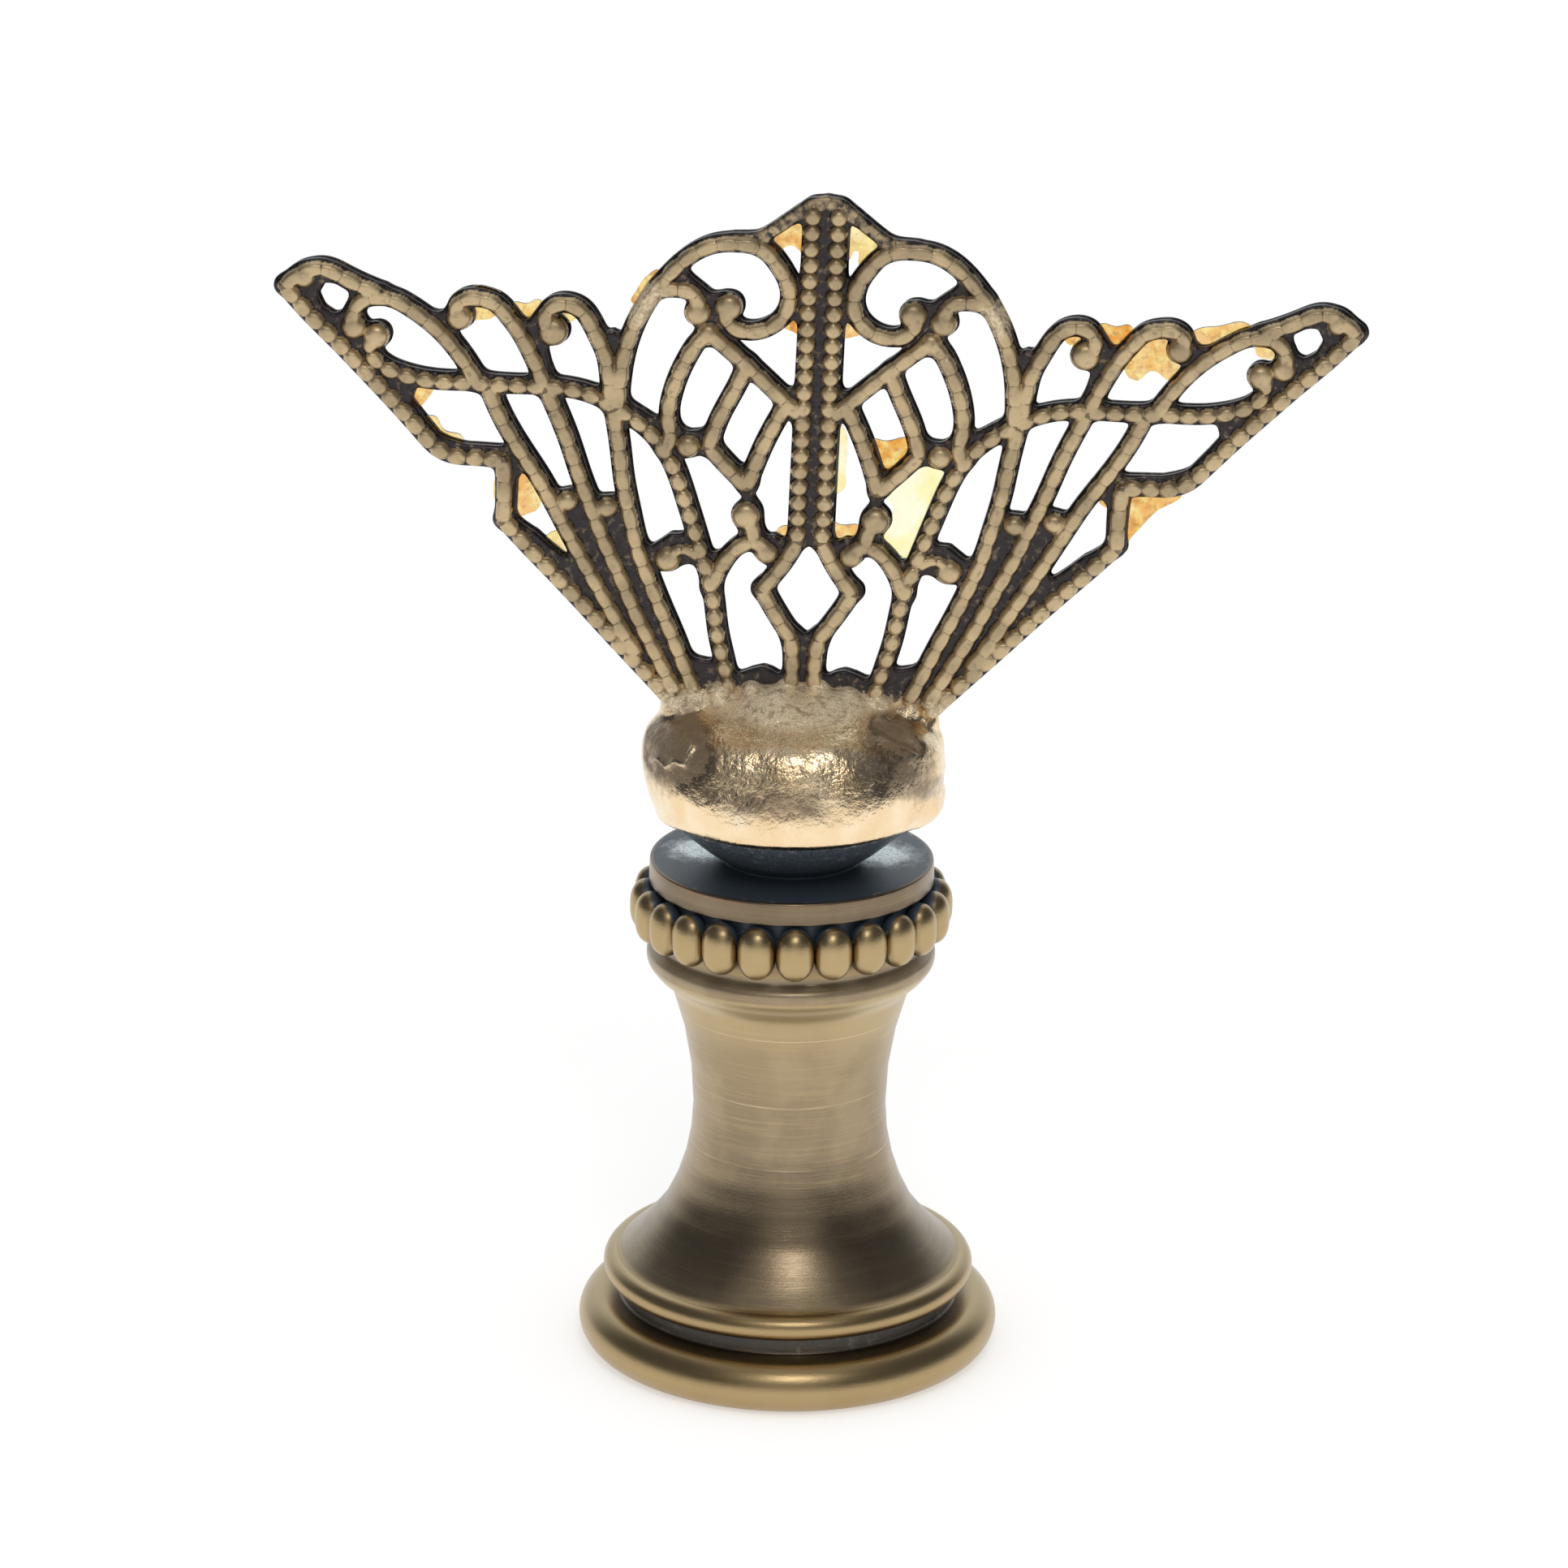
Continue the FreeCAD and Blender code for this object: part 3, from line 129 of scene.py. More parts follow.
# Plain lower level that closes the corners between strands
GROUNDS = {
    "tip": [(-24.9, 21.2), (-24.0, 21.9), (-22.4, 21.75), (-21.4, 21.2), (-21.6, 20.4), (-21.7, 19.2),
            (-20.9, 19.1), (-20.9, 18.2), (-21.4, 17.6), (-22.5, 18.7)],
    "arc_start": [(-20.6, 17.4), (-19.0, 17.0), (-18.85, 16.4), (-19.0, 15.9), (-18.5, 15.2), (-17.7, 14.2),
                  (-16.4, 13.85), (-14.5, 13.8), (-13.9, 13.5), (-14.5, 12.9), (-17.2, 13.3),
                  (-18.4, 14.3)],
    "tip_notch": [(-18.6, 20.0), (-17.8, 20.2), (-17.1, 20.5), (-16.9, 20.0), (-17.1, 19.4), (-17.0, 18.6),
                  (-17.8, 19.3)],
    "loop_notch": [(-14.0, 19.6), (-13.3, 20.4), (-12.8, 20.4), (-12.6, 19.4), (-12.75, 18.7),
                   (-12.6, 18.0), (-12.2, 17.0), (-13.1, 17.6)],
    "scroll_notch": [(-10.3, 19.3), (-9.7, 19.75), (-9.0, 19.2), (-9.2, 17.3), (-9.8, 17.3)],
    "hook": [(-7.3, 22.2), (-6.4, 22.75), (-5.75, 22.15), (-5.15, 21.75), (-4.6, 21.75), (-4.4, 20.8),
             (-5.0, 19.9), (-5.7, 20.5), (-5.9, 21.5), (-6.5, 21.8)],
    "crest": [(-3.4, 24.1), (-2.3, 24.95), (-0.7, 26.0), (-0.7, 25.5), (-1.6, 25.2), (-2.9, 24.3)],
    "spine_corner": [(-1.5, 21.5), (-0.8, 21.5), (-0.8, 20.5), (-1.7, 20.9)],
    "diagonal_end": [(-1.9, 17.0), (-1.35, 17.15), (-1.05, 17.35), (-0.7, 17.5), (-0.7, 16.2)],
    "bow_end": [(-9.2, 15.9), (-8.9, 16.35), (-7.5, 15.55), (-6.9, 15.6), (-6.9, 14.2), (-8.0, 15.1)],
    "lozenge_link": [(-6.9, 15.5), (-6.35, 15.2), (-5.9, 14.95), (-5.35, 15.1), (-4.7, 15.3), (-4.9, 14.3),
                     (-5.1, 13.9), (-5.9, 13.8), (-6.7, 13.6)],
    "stem_link": [(-8.1, 9.3), (-7.45, 9.3), (-7.05, 9.6), (-6.6, 9.95), (-5.4, 10.0), (-5.0, 8.9),
                  (-5.7, 8.5), (-6.4, 8.3), (-7.7, 8.1)],
    "stem_head": [(-3.1, 12.5), (-2.85, 12.1), (-2.45, 11.3), (-2.35, 10.4), (-2.0, 9.7), (-3.2, 9.6),
                  (-3.35, 10.2), (-3.4, 11.0)],
    "small_arch": [(-5.05, 8.9), (-4.5, 9.05), (-4.0, 9.0), (-4.2, 8.4), (-4.6, 7.6)],
    "arch_spine": [(-2.4, 9.7), (-1.7, 10.15), (-1.2, 9.85), (-0.7, 9.9), (-1.3, 8.6), (-1.75, 8.9)],
    "fan_gap_outer": [(-12.4, 11.6), (-11.4, 11.75), (-10.5, 11.8), (-8.1, 6.1), (-6.6, 3.3), (-8.2, 4.3)],
    "fan_gap_inner": [(-10.6, 11.6), (-9.6, 11.5), (-8.7, 11.6), (-6.3, 5.0), (-5.4, 3.0), (-6.4, 2.9)],
    "rib_gap": [(-14.3, 10.4), (-12.95, 9.75), (-12.2, 9.1), (-11.55, 8.6), (-11.25, 8.75), (-10.9, 9.0),
                (-7.9, 4.0), (-8.5, 4.1)],
    "rib_step_gap": [(-14.6, 13.3), (-13.9, 12.95), (-13.7, 12.6), (-14.0, 12.2), (-14.1, 10.5),
                     (-14.6, 10.4)],
    "diamond_foot": [(-0.9, 5.35), (-0.3, 5.35), (0.1, 5.1), (0.1, 2.5), (-0.7, 2.5)],
    "spine": [(-0.9, 26.0), (0.1, 26.0), (0.1, 9.5), (-0.9, 9.9)],
}

# The plain root: its upper edge from the middle outwards, its side, and its corner inside the knob. Then the
# eye of each tip.
ROOT_TOP = [(0.0, 3.4), (-1.1, 3.2), (-1.5, 3.45), (-1.95, 3.58), (-2.5, 3.42), (-3.2, 3.1), (-3.9, 3.7),
            (-4.6, 3.75), (-5.4, 3.9), (-6.3, 3.6), (-7.2, 2.9)]
ROOT_SIDE = [(-6.45, 2.0), (-5.4, 0.9), (-4.9, -0.2)]
ROOT_FLOOR = (-4.7, -1.2)
TIP_HOLE = [(-23.5, 20.8), (-23.2, 21.35), (-22.6, 21.45), (-22.0, 21.05), (-21.95, 20.5), (-22.25, 20.05),
            (-22.7, 19.9), (-23.2, 20.2)]

# How a strand's ridge is cut into beads: pitch, depth of the cuts (1 parts the beads fully), and how far the
# dark line at each cut is weakened
SPINE_MILLING = (0.76, 0.9, 0.02)
RIB_MILLING = (0.86, 0.75, 0.02)
PLAIN_MILLING = (0.95, 0.3, 0.03)
MILLED = {
    "spine": SPINE_MILLING,
    "rib_upper": RIB_MILLING,
    "rib_step": PLAIN_MILLING,
    "rib_lower": RIB_MILLING,
    "long_arc": RIB_MILLING,
}
# Strands whose ridge has another width, whose outline is narrower or whose ridge is lower than the others'
RIDGE_WIDTHS = {"spine": 1.1, "rib_upper": 1.1, "rib_lower": 1.1, "rib_step": 1.05, "stem_link_arm": 0.7}
STRAND_HALVES = {"crest": 0.3}
RIDGE_RISES = {"crest": 0.16}

# Films of amber glue: how deep the colour is, and the outline
WEBS = {
    "left_crest": (0.9, [(-3.1, 24.2), (-2.6, 24.7), (-1.3, 25.5), (-0.8, 25.6), (-0.8, 23.5),
                         (-1.15, 23.9), (-1.5, 24.1), (-1.85, 24.0), (-2.0, 23.5), (-2.5, 23.6)]),
    "left_shoulder": (0.9, [(-8.8, 21.0), (-8.62, 21.65), (-8.2, 22.3), (-7.6, 22.65), (-7.3, 22.4),
                            (-8.1, 21.5)]),
    "left_scroll_foot": (1.0, [(-1.6, 20.8), (-0.8, 20.6), (-0.9, 19.9), (-1.3, 20.0), (-1.9, 20.4)]),
    "left_loop_outer": (0.8, [(-16.5, 20.5), (-14.8, 20.6), (-15.3, 20.0), (-15.9, 19.85), (-16.6, 19.9)]),
    "left_loop_crown": (0.9, [(-16.9, 20.8), (-16.2, 21.45), (-15.5, 21.45), (-14.9, 21.0), (-15.5, 20.8)]),
    "left_loop_notch": (0.8, [(-14.7, 20.3), (-14.4, 20.75), (-13.7, 20.75), (-13.2, 20.95), (-12.7, 20.5),
                              (-13.4, 19.9), (-14.0, 19.8)]),
    "left_loop_inner": (0.8, [(-12.2, 20.5), (-11.2, 20.5), (-11.5, 20.05), (-11.9, 19.9), (-12.4, 20.0)]),
    "left_arc_start": (0.9, [(-19.4, 16.8), (-18.0, 16.5), (-18.2, 15.95), (-18.7, 15.5), (-19.3, 15.8)]),
    "left_rib": (0.7, [(-18.5, 14.8), (-17.9, 15.1), (-17.4, 14.45), (-16.5, 14.1), (-16.6, 13.7),
                       (-17.6, 13.8)]),
    "left_step": (0.85, [(-14.5, 12.9), (-13.6, 12.7), (-12.75, 11.0), (-13.4, 10.5), (-14.3, 10.3)]),
    "left_rib_gap": (0.6, [(-12.5, 9.4), (-11.5, 9.7), (-11.1, 8.9), (-11.6, 8.3), (-12.5, 8.6)]),
    "left_spine": (0.8, [(-1.5, 10.35), (-0.9, 10.45), (-0.9, 9.8), (-1.5, 9.85)]),
    "right_crest": (0.6, [(0.8, 25.6), (1.5, 25.5), (2.7, 24.8), (2.4, 24.0), (2.0, 23.3), (1.7, 23.3),
                          (1.5, 24.0), (1.2, 23.6), (0.8, 23.4)]),
    "right_scroll_foot": (0.8, [(0.9, 20.4), (1.7, 20.7), (2.1, 20.3), (1.5, 19.85), (0.9, 19.9)]),
    "right_tip_notch": (0.8, [(16.9, 20.2), (17.5, 20.95), (18.6, 21.2), (19.9, 21.4), (20.3, 20.9),
                              (19.3, 20.2), (17.6, 19.6)]),
    "right_loop_outer": (0.8, [(14.4, 20.2), (15.8, 20.8), (17.1, 20.3), (16.9, 19.2), (16.6, 18.5),
                               (15.6, 18.9), (14.9, 18.4), (14.2, 19.2)]),
    "right_loop_notch": (1.0, [(12.7, 20.6), (13.1, 21.05), (13.8, 20.95), (14.5, 21.0), (14.6, 20.3),
                               (13.9, 19.6), (13.2, 20.0)]),
    "right_loop_inner": (0.9, [(11.4, 20.6), (12.4, 20.6), (12.5, 20.1), (11.9, 19.95), (11.5, 20.1)]),
    "right_tip_scroll": (0.7, [(20.5, 20.5), (21.3, 20.4), (21.4, 19.9), (20.8, 19.75), (20.4, 20.0)]),
    "right_step": (0.9, [(17.4, 13.2), (14.6, 13.0), (14.6, 10.2), (15.3, 10.9), (16.2, 12.0)]),
    "right_rib_gap": (0.8, [(13.4, 12.9), (14.4, 12.9), (14.3, 12.2), (13.7, 12.25)]),
    "right_stem_field": (0.15, [(6.3, 14.0), (4.6, 13.6), (3.4, 12.7), (3.85, 11.5), (3.7, 10.9),
                                (3.3, 10.2), (3.6, 9.7), (4.5, 9.2), (4.9, 9.5), (5.4, 11.0)]),
    "right_spine_strip": (0.3, [(0.9, 15.7), (1.3, 15.5), (1.55, 13.4), (1.45, 12.4), (0.9, 12.3)]),
    "right_spine_foot": (0.8, [(0.9, 10.9), (1.4, 10.7), (2.4, 10.6), (2.2, 10.0), (1.3, 9.8),
                               (0.9, 10.0)]),
    "right_lozenge": (1.0, [(4.8, 14.4), (4.45, 15.05), (3.4, 14.9), (2.5, 14.9), (2.4, 13.9),
                            (3.1, 12.8)]),
}
FILM_THICKNESS = 0.14


# Meshes

def add_mesh(name, points, faces, material, slot, replaces, **attributes):
    """A smooth piece from points in millimetres, with float attributes at its points."""
    mesh = bpy.data.meshes.new(name)
    mesh.from_pydata((np.asarray(points, float) * MM).tolist(), [], faces)
    for key, values in attributes.items():
        layer = mesh.attributes.new(key, "FLOAT", "POINT")
        layer.data.foreach_set("value", np.asarray(values, np.float32))
    mesh.polygons.foreach_set("use_smooth", [True] * len(mesh.polygons))
    mesh.materials.append(material)
    piece = bpy.data.objects.new(name, mesh)
    bpy.context.scene.collection.objects.link(piece)
    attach(piece, "root")
    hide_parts(replaces)
    return piece


class Builder:
    """Collects points, faces and one attribute from several closed shapes."""

    def __init__(self):
        self.points = []
        self.faces = []
        self.values = []

    def add(self, points, faces, values):
        start = sum(len(block) for block in self.points)
        self.points.append(np.asarray(points, float))
        self.faces += [[start + index for index in face] for face in faces]
        self.values.append(np.asarray(values, float))

    def all_points(self):
        return np.concatenate(self.points)

    def all_values(self):
        return np.concatenate(self.values)


def ring_faces(rings, count):
    """Quads between rings of points that are stored one after another."""
    return [[ring * count + spot, ring * count + (spot + 1) % count,
             (ring + 1) * count + (spot + 1) % count, (ring + 1) * count + spot]
            for ring in range(rings - 1) for spot in range(count)]


def smooth_step(low, high, value):
    """From 0 to 1, with soft ends, as the value goes from low to high."""
    t = np.clip((value - low) / (high - low), 0, 1)
    return t * t * (3 - 2 * t)


# Node trees

# Sockets of a Mix node that mixes colours
MIX_SHARE, MIX_FIRST, MIX_SECOND, MIX_RESULT = 0, 6, 7, 2


class Value:
    """What a node gives. Sums and products of such values are nodes too."""

    def __init__(self, nodes, socket):
        self.nodes = nodes
        self.socket = socket

    def __add__(self, other):
        return self.nodes.math("ADD", self, other)

    def __sub__(self, other):
        return self.nodes.math("SUBTRACT", self, other)

    def __rsub__(self, other):
        return self.nodes.math("SUBTRACT", other, self)

    def __mul__(self, other):
        return self.nodes.math("MULTIPLY", self, other)

    def __abs__(self):
        return self.nodes.math("ABSOLUTE", self)

    def higher(self, other):
        """The higher of this value and another."""
        return self.nodes.math("MAXIMUM", self, other)

    def range(self, low, high, out_low=0.0, out_high=1.0):
        """From out_low to out_high as this value goes from low to high."""
        node = self.nodes.add("ShaderNodeMapRange", interpolation_type=self.nodes.easing)
        for source, socket in zip((self, low, high, out_low, out_high), node.inputs):
            self.nodes.join(source, socket)
        return self.nodes.output(node, "Result")


class Nodes:
    """Short ways to add nodes to a tree and to join them."""

    def __init__(self, tree, easing="SMOOTHSTEP"):
        self.tree = tree
        self.easing = easing

    def add(self, kind, **settings):
        node = self.tree.nodes.new(kind)
        for key, value in settings.items():
            setattr(node, key, value)
        return node

    def output(self, node, name=0):
        return Value(self, node.outputs[name])

    def join(self, source, socket):
        """Links a value to a socket, or sets the socket to a number, place or colour."""
        if isinstance(source, Value):
            self.tree.links.new(source.socket, socket)
        elif socket.type == "RGBA":
            socket.default_value = (*source, 1.0)
        else:
            socket.default_value = source

    def math(self, operation, first, second=0.0):
        node = self.add("ShaderNodeMath", operation=operation)
        self.join(first, node.inputs[0])
        self.join(second, node.inputs[1])
        return self.output(node)

    def vector(self, operation, first, second):
        node = self.add("ShaderNodeVectorMath", operation=operation)
        self.join(first, node.inputs[0])
        self.join(second, node.inputs["Scale" if operation == "SCALE" else 1])
        return self.output(node, "Value" if operation == "DISTANCE" else "Vector")

    def mix(self, share, first, second):
        node = self.add("ShaderNodeMix", data_type="RGBA")
        for source, socket in ((share, MIX_SHARE), (first, MIX_FIRST), (second, MIX_SECOND)):
            self.join(source, node.inputs[socket])
        return self.output(node, MIX_RESULT)

    def layers(self, colour, *covers):
        """A colour with others laid over it in turn, each by its share."""
        for share, cover in covers:
            colour = self.mix(share, colour, cover)
        return colour


class Shader(Nodes):
    """A material with a Principled surface. Its places and scales are in millimetres."""

    def __init__(self, name):
        self.material = bpy.data.materials.new(name)
        self.material.use_nodes = True
        super().__init__(self.material.node_tree)
        self.place = self.vector("SCALE", self.output(self.add("ShaderNodeTexCoord"), "Object"), 1 / MM)

    def attribute(self, name):
        """A float that the mesh has at its points."""
        return self.output(self.add("ShaderNodeAttribute", attribute_name=name), "Fac")

    def axis(self, name, place=None):
        """One coordinate of a place, or of the shaded point."""
        node = self.add("ShaderNodeSeparateXYZ")
        self.join(place or self.place, node.inputs[0])
        return self.output(node, name)

    def noise(self, scale, detail=3.0, stretch=(1, 1, 1), roughness=0.55):
        """Soft noise round 0.5, stretched along an axis by a number under 1."""
        node = self.add("ShaderNodeTexNoise")
        self.join(self.vector("MULTIPLY", self.place, stretch), node.inputs["Vector"])
        for name, number in (("Scale", scale), ("Detail", detail), ("Roughness", roughness)):
            node.inputs[name].default_value = number
        return self.output(node, "Fac")

    def bump(self, height, distance, strength, under=None):
        """A normal bent by a height, over another normal if one is given."""
        node = self.add("ShaderNodeBump")
        for name, source in (("Height", height), ("Distance", distance * MM), ("Strength", strength)):
            self.join(source, node.inputs[name])
        if under:
            self.join(under, node.inputs["Normal"])
        return self.output(node, "Normal")

    def finish(self, **sockets):
        """Sets the surface's sockets and gives the material."""
        surface = self.tree.nodes["Principled BSDF"]
        for name, source in sockets.items():
            self.join(source, surface.inputs[name.replace("_", " ")])
        return self.material


# Materials

BRASS = (0.37, 0.285, 0.18)
BRASS_LIGHT = (0.55, 0.42, 0.22)
BRASS_PAINTED_HIGHLIGHT = (0.72, 0.58, 0.36)
BRASS_BROWN = (0.22, 0.16, 0.10)
BRASS_SHADE = (0.125, 0.092, 0.06)
BRASS_GOLDEN = (0.48, 0.34, 0.15)
COPPER = (0.33, 0.19, 0.12)
PATINA = (0.05, 0.068, 0.09)
PATINA_CUP = (0.12, 0.145, 0.17)
PATINA_WORN_AND_SHEEN = (0.92, 0.98, 1.0)
OLIVE_TAN = (0.64, 0.49, 0.285)
OLIVE_DARK = (0.42, 0.32, 0.19)
MAUVE_BROWN = (0.17, 0.125, 0.095)
JOINT_BROWN = (0.10, 0.068, 0.05)
PLATE = (0.028, 0.022, 0.022)
PLATE_BROWN = (0.055, 0.046, 0.048)
GILT_ROOT = (0.52, 0.40, 0.25)
GOLD = (0.86, 0.64, 0.38)
GOLD_PALE = (0.95, 0.78, 0.54)
GOLD_BROWN = (0.34, 0.255, 0.17)
GOLD_DARK = (0.145, 0.093, 0.045)
AMBER_CLEAR = (1.0, 1.0, 0.85)
AMBER_PALE = (1.0, 0.96, 0.38)
AMBER_DEEP = (0.82, 0.35, 0.035)
AMBER_BURNT = (0.36, 0.12, 0.02)

# Heights of the bright scratches that run round the neck
SCRATCH_HEIGHTS = (17.5, 13.8, 10.6)
# Places on the collar's top where a painted reflection of the bright backdrop lightens the blue-black patina
# to silvery grey: x, y, z and reach
PAINTED_SHEEN_PLACES = [(-4.3, 0.8, 25.0, 2.2), (4.2, 0.4, 25.1, 2.4)]


def antique_brass():
    """Brushed brass where it is worn, blue-black patina in the hollows, a painted reflection on the collar's
    top and a painted highlight on the shoulder.
    """
    shader = Shader("antique_brass")
    wear = shader.attribute("wear")
    height = shader.axis("Z")
    brushing = shader.noise(2.2, 4.0, stretch=(0.12, 0.12, 5.0))
    fine_brushing = shader.noise(6.0, 3.0, stretch=(0.15, 0.15, 6.0))
    cloud = shader.noise(0.35, 4.0, stretch=(1.0, 1.0, 0.8))
    grain = shader.noise(7.0, 3.0)
    patches = shader.noise(1.6, 5.0, stretch=(1.0, 0.6, 1.0), roughness=0.7)

    foot = height.range(5.0, 4.4, 0.0, 0.65) * wear.range(0.3, 0.6)
    beads = height.range(20.9, 21.2) * height.range(23.9, 23.7)
    lines = [abs(height - level).range(0.015, 0.04, 1.0, 0.0) for level in SCRATCH_HEIGHTS]
    scratches = [(line * brushing.range(0.4, 0.6) * 0.3, GOLD_PALE) for line in lines]
    collar_edge = height.range(24.72, 24.9) * height.range(25.0, 24.94)
    toned = shader.layers(
        BRASS,
        (cloud.range(0.38, 0.62, 0.5, 0.0), BRASS_BROWN),
        (brushing.range(0.45, 0.8, 0.0, 0.45), BRASS_LIGHT),
        (fine_brushing.range(0.25, 0.5, 0.35, 0.0), BRASS_BROWN),
        (wear.range(0.92, 1.0, 0.0, 0.7), BRASS_LIGHT),
        # Wear above 1, on the shoulder, gives a painted highlight.
        (wear.range(1.0, 1.3), BRASS_PAINTED_HIGHLIGHT),
        (wear.range(0.35, 0.75, 0.8, 0.0), BRASS_SHADE),
        (foot.higher(beads * 0.45), BRASS_GOLDEN),
        *scratches,
        (collar_edge * cloud.range(0.4, 0.6, 0.0, 0.5), COPPER))

    # Rubbed patches at random, and at the given places on the collar's top a painted reflection of the bright
    # backdrop in silvery grey.
    rubbed_and_sheen = patches.range(0.55, 0.7, 0.0, 0.35) * wear.range(0.04, 0.1)
    for x, y, z, reach in PAINTED_SHEEN_PLACES:
        uneven = shader.vector("DISTANCE", shader.place, (x, y, z)) + (patches - 0.5) * 2.5
        rubbed_and_sheen = rubbed_and_sheen.higher(uneven.range(reach * 0.3, reach, 1.0, 0.0))
    rubbed_and_sheen = rubbed_and_sheen * grain.range(0.35, 0.55, 0.5, 1.0)
    cup = height.range(25.3, 25.7) * grain.range(0.35, 0.6)
    patina = shader.layers(PATINA, (cup, PATINA_CUP), (rubbed_and_sheen, PATINA_WORN_AND_SHEEN))

    bare = (wear + (grain - 0.5) * 0.25).range(0.12, 0.42)
    ledge = height.range(20.2, 20.4) * height.range(21.1, 20.9)
    # Above a wear of 1 the painted highlight is also less metallic and rougher, so it looks lit.
    dulling = (ledge * 0.55).higher(wear.range(1.0, 1.4, 0.0, 0.45))
    roughness = bare.range(0.0, 1.0, 0.4, 0.27) + wear.range(1.0, 1.4, 0.0, 0.2)
    brushed = shader.bump(fine_brushing, 0.012, 0.5)
    return shader.finish(
        Base_Color=shader.mix(bare, patina, toned),
        Metallic=bare.range(0.0, 0.8, 0.35, 1.0).higher(rubbed_and_sheen) * (1.0 - dulling),
        Roughness=roughness + fine_brushing * 0.1,
        Normal=shader.bump(grain, 0.012, 0.4, under=brushed),
        Specular_IOR_Level=0.5, Coat_Weight=0.22, Coat_Roughness=0.25)


def plain_brass():
    """Bright turned brass for the hidden stud."""
    shader = Shader("plain_brass")
    tone = shader.noise(1.5, 3.0, stretch=(0.3, 0.3, 4.0))
    return shader.finish(
        Base_Color=shader.mix(tone, BRASS, BRASS_LIGHT),
        Metallic=1.0,
        Roughness=tone.range(0.3, 0.7, 0.25, 0.4),
        Normal=shader.bump(tone, 0.02, 0.4))


def gilding():
    """Gold leaf paint over moulded filler: brown and matt where it is thin and tarnished and where dark
    reflections and shade are painted in, crinkled on top, and paler on top as a painted highlight.
    """
    shader = Shader("gilding")
    grain = shader.noise(2.2, 4.0, roughness=0.6)
    spark = shader.noise(6.0, 2.0)
    crinkle = shader.noise(1.5, 4.0, stretch=(1.0, 1.0, 2.4), roughness=0.7)
    # High where the paint is thin and tarnished, and where painted dark reflections and painted shade lie.
    thin_and_shaded = shader.attribute("tarnish") + (grain - 0.5) * 0.9
    # The top is paler and less metallic: a painted highlight where the top faces the bright overhead studio.
    top = shader.axis("Z").range(32.4, 33.1)
    tone = shader.layers(
        GOLD,
        (shader.noise(0.45, 4.0).range(0.35, 0.7), GOLD_PALE),
        (thin_and_shaded.range(0.3, 0.8, 0.0, 0.9), GOLD_BROWN),
        (thin_and_shaded.range(0.75, 1.15, 0.0, 0.6), GOLD_DARK),
        (top, shader.mix(grain.range(0.32, 0.52), GILT_ROOT, GOLD_PALE)))
    unsmoothed = 1.0 - shader.attribute("hem")
    rough = shader.bump(grain * unsmoothed, 0.14, 0.6)
    crinkled = shader.bump(crinkle * top, 0.3, 0.7, under=rough)
    return shader.finish(
        Base_Color=tone,
        Metallic=top.range(0.0, 1.0, 1.0, 0.5) * thin_and_shaded.range(0.7, 1.1, 1.0, 0.45),
        Roughness=spark.range(0.3, 0.7, 0.14, 0.3) + thin_and_shaded.range(0.7, 1.1, 0.0, 0.3),
        Normal=shader.bump(spark * unsmoothed, 0.026, 0.6, under=crinkled))


# Gold paint on the ornament: u, v and reach of each smear, and how high it comes at the roots
GILT_SMEARS = [(-8.4, 21.2, 1.9), (8.2, 21.2, 1.6), (6.0, 19.3, 0.8)]
GILT_ROOT_TOP = 3.15


def ornament_place(shader):
    """Coordinates in the ornament's own drawing: u in X and v in Z."""
    turn = shader.add("ShaderNodeVectorRotate", rotation_type="Y_AXIS")
    shader.join(shader.vector("SUBTRACT", shader.place, tuple(ORNAMENT_ORIGIN)), turn.inputs["Vector"])
    shader.join(-ORNAMENT_LEAN, turn.inputs["Angle"])
    return shader.output(turn, "Vector")


def gilt_share(shader, grain):
    """How much gold paint lies at a place of the ornament: smears, and the roots by the knob."""
    place = ornament_place(shader)
    flat = shader.vector("MULTIPLY", place, (1, 0, 1))
    uneven_v = shader.axis("Z", place) + grain * 2.4
    share = uneven_v.range(GILT_ROOT_TOP, GILT_ROOT_TOP + 0.7, 1.0, 0.0)
    for u, v, reach in GILT_SMEARS:
        uneven = shader.vector("DISTANCE", flat, (u, 0, v)) + grain * 2.0
        share = share.higher(uneven.range(reach * 0.9, reach * 1.3, 0.9, 0.0))
    return share


def stamped_brass(name):
    """Blackened stamped brass, worn to olive tan on its ridges and dark at the joints cut across them."""
    shader = Shader(name)
    grain = shader.noise(6.0, 4.0, roughness=0.65)
    fleck = shader.noise(2.6, 3.0)
    worn = (shader.attribute("relief") + (fleck - 0.5) * 0.7).range(0.02, 0.28)
    joints = shader.attribute("joint").range(0.02, 0.075, 0.85, 0.0)
    gilt = gilt_share(shader, fleck)
    tan = shader.layers(
        OLIVE_DARK,
        (shader.noise(0.5, 3.0).range(0.35, 0.65), OLIVE_TAN),
        (grain.range(0.3, 0.55, 0.45, 0.0), OLIVE_DARK),
        (fleck.range(0.56, 0.75, 0.0, 0.5), MAUVE_BROWN),
        (joints, JOINT_BROWN))
    tone = shader.layers(
        PLATE,
        (grain.range(0.3, 0.7), PLATE_BROWN),
        (worn, tan),
        (gilt, shader.mix(grain.range(0.35, 0.65), GILT_ROOT, GOLD_PALE)))
    cuts = shader.bump(joints * -1.0, 0.05, 0.6)
    return shader.finish(
        Base_Color=tone,
        Metallic=gilt.range(0.0, 1.0, 0.9, 0.55),
        Roughness=grain.range(0.3, 0.7, 0.36, 0.52),
        Normal=shader.bump(grain, 0.02, 0.5, under=cuts),
        Coat_Weight=0.2, Coat_Roughness=0.2)


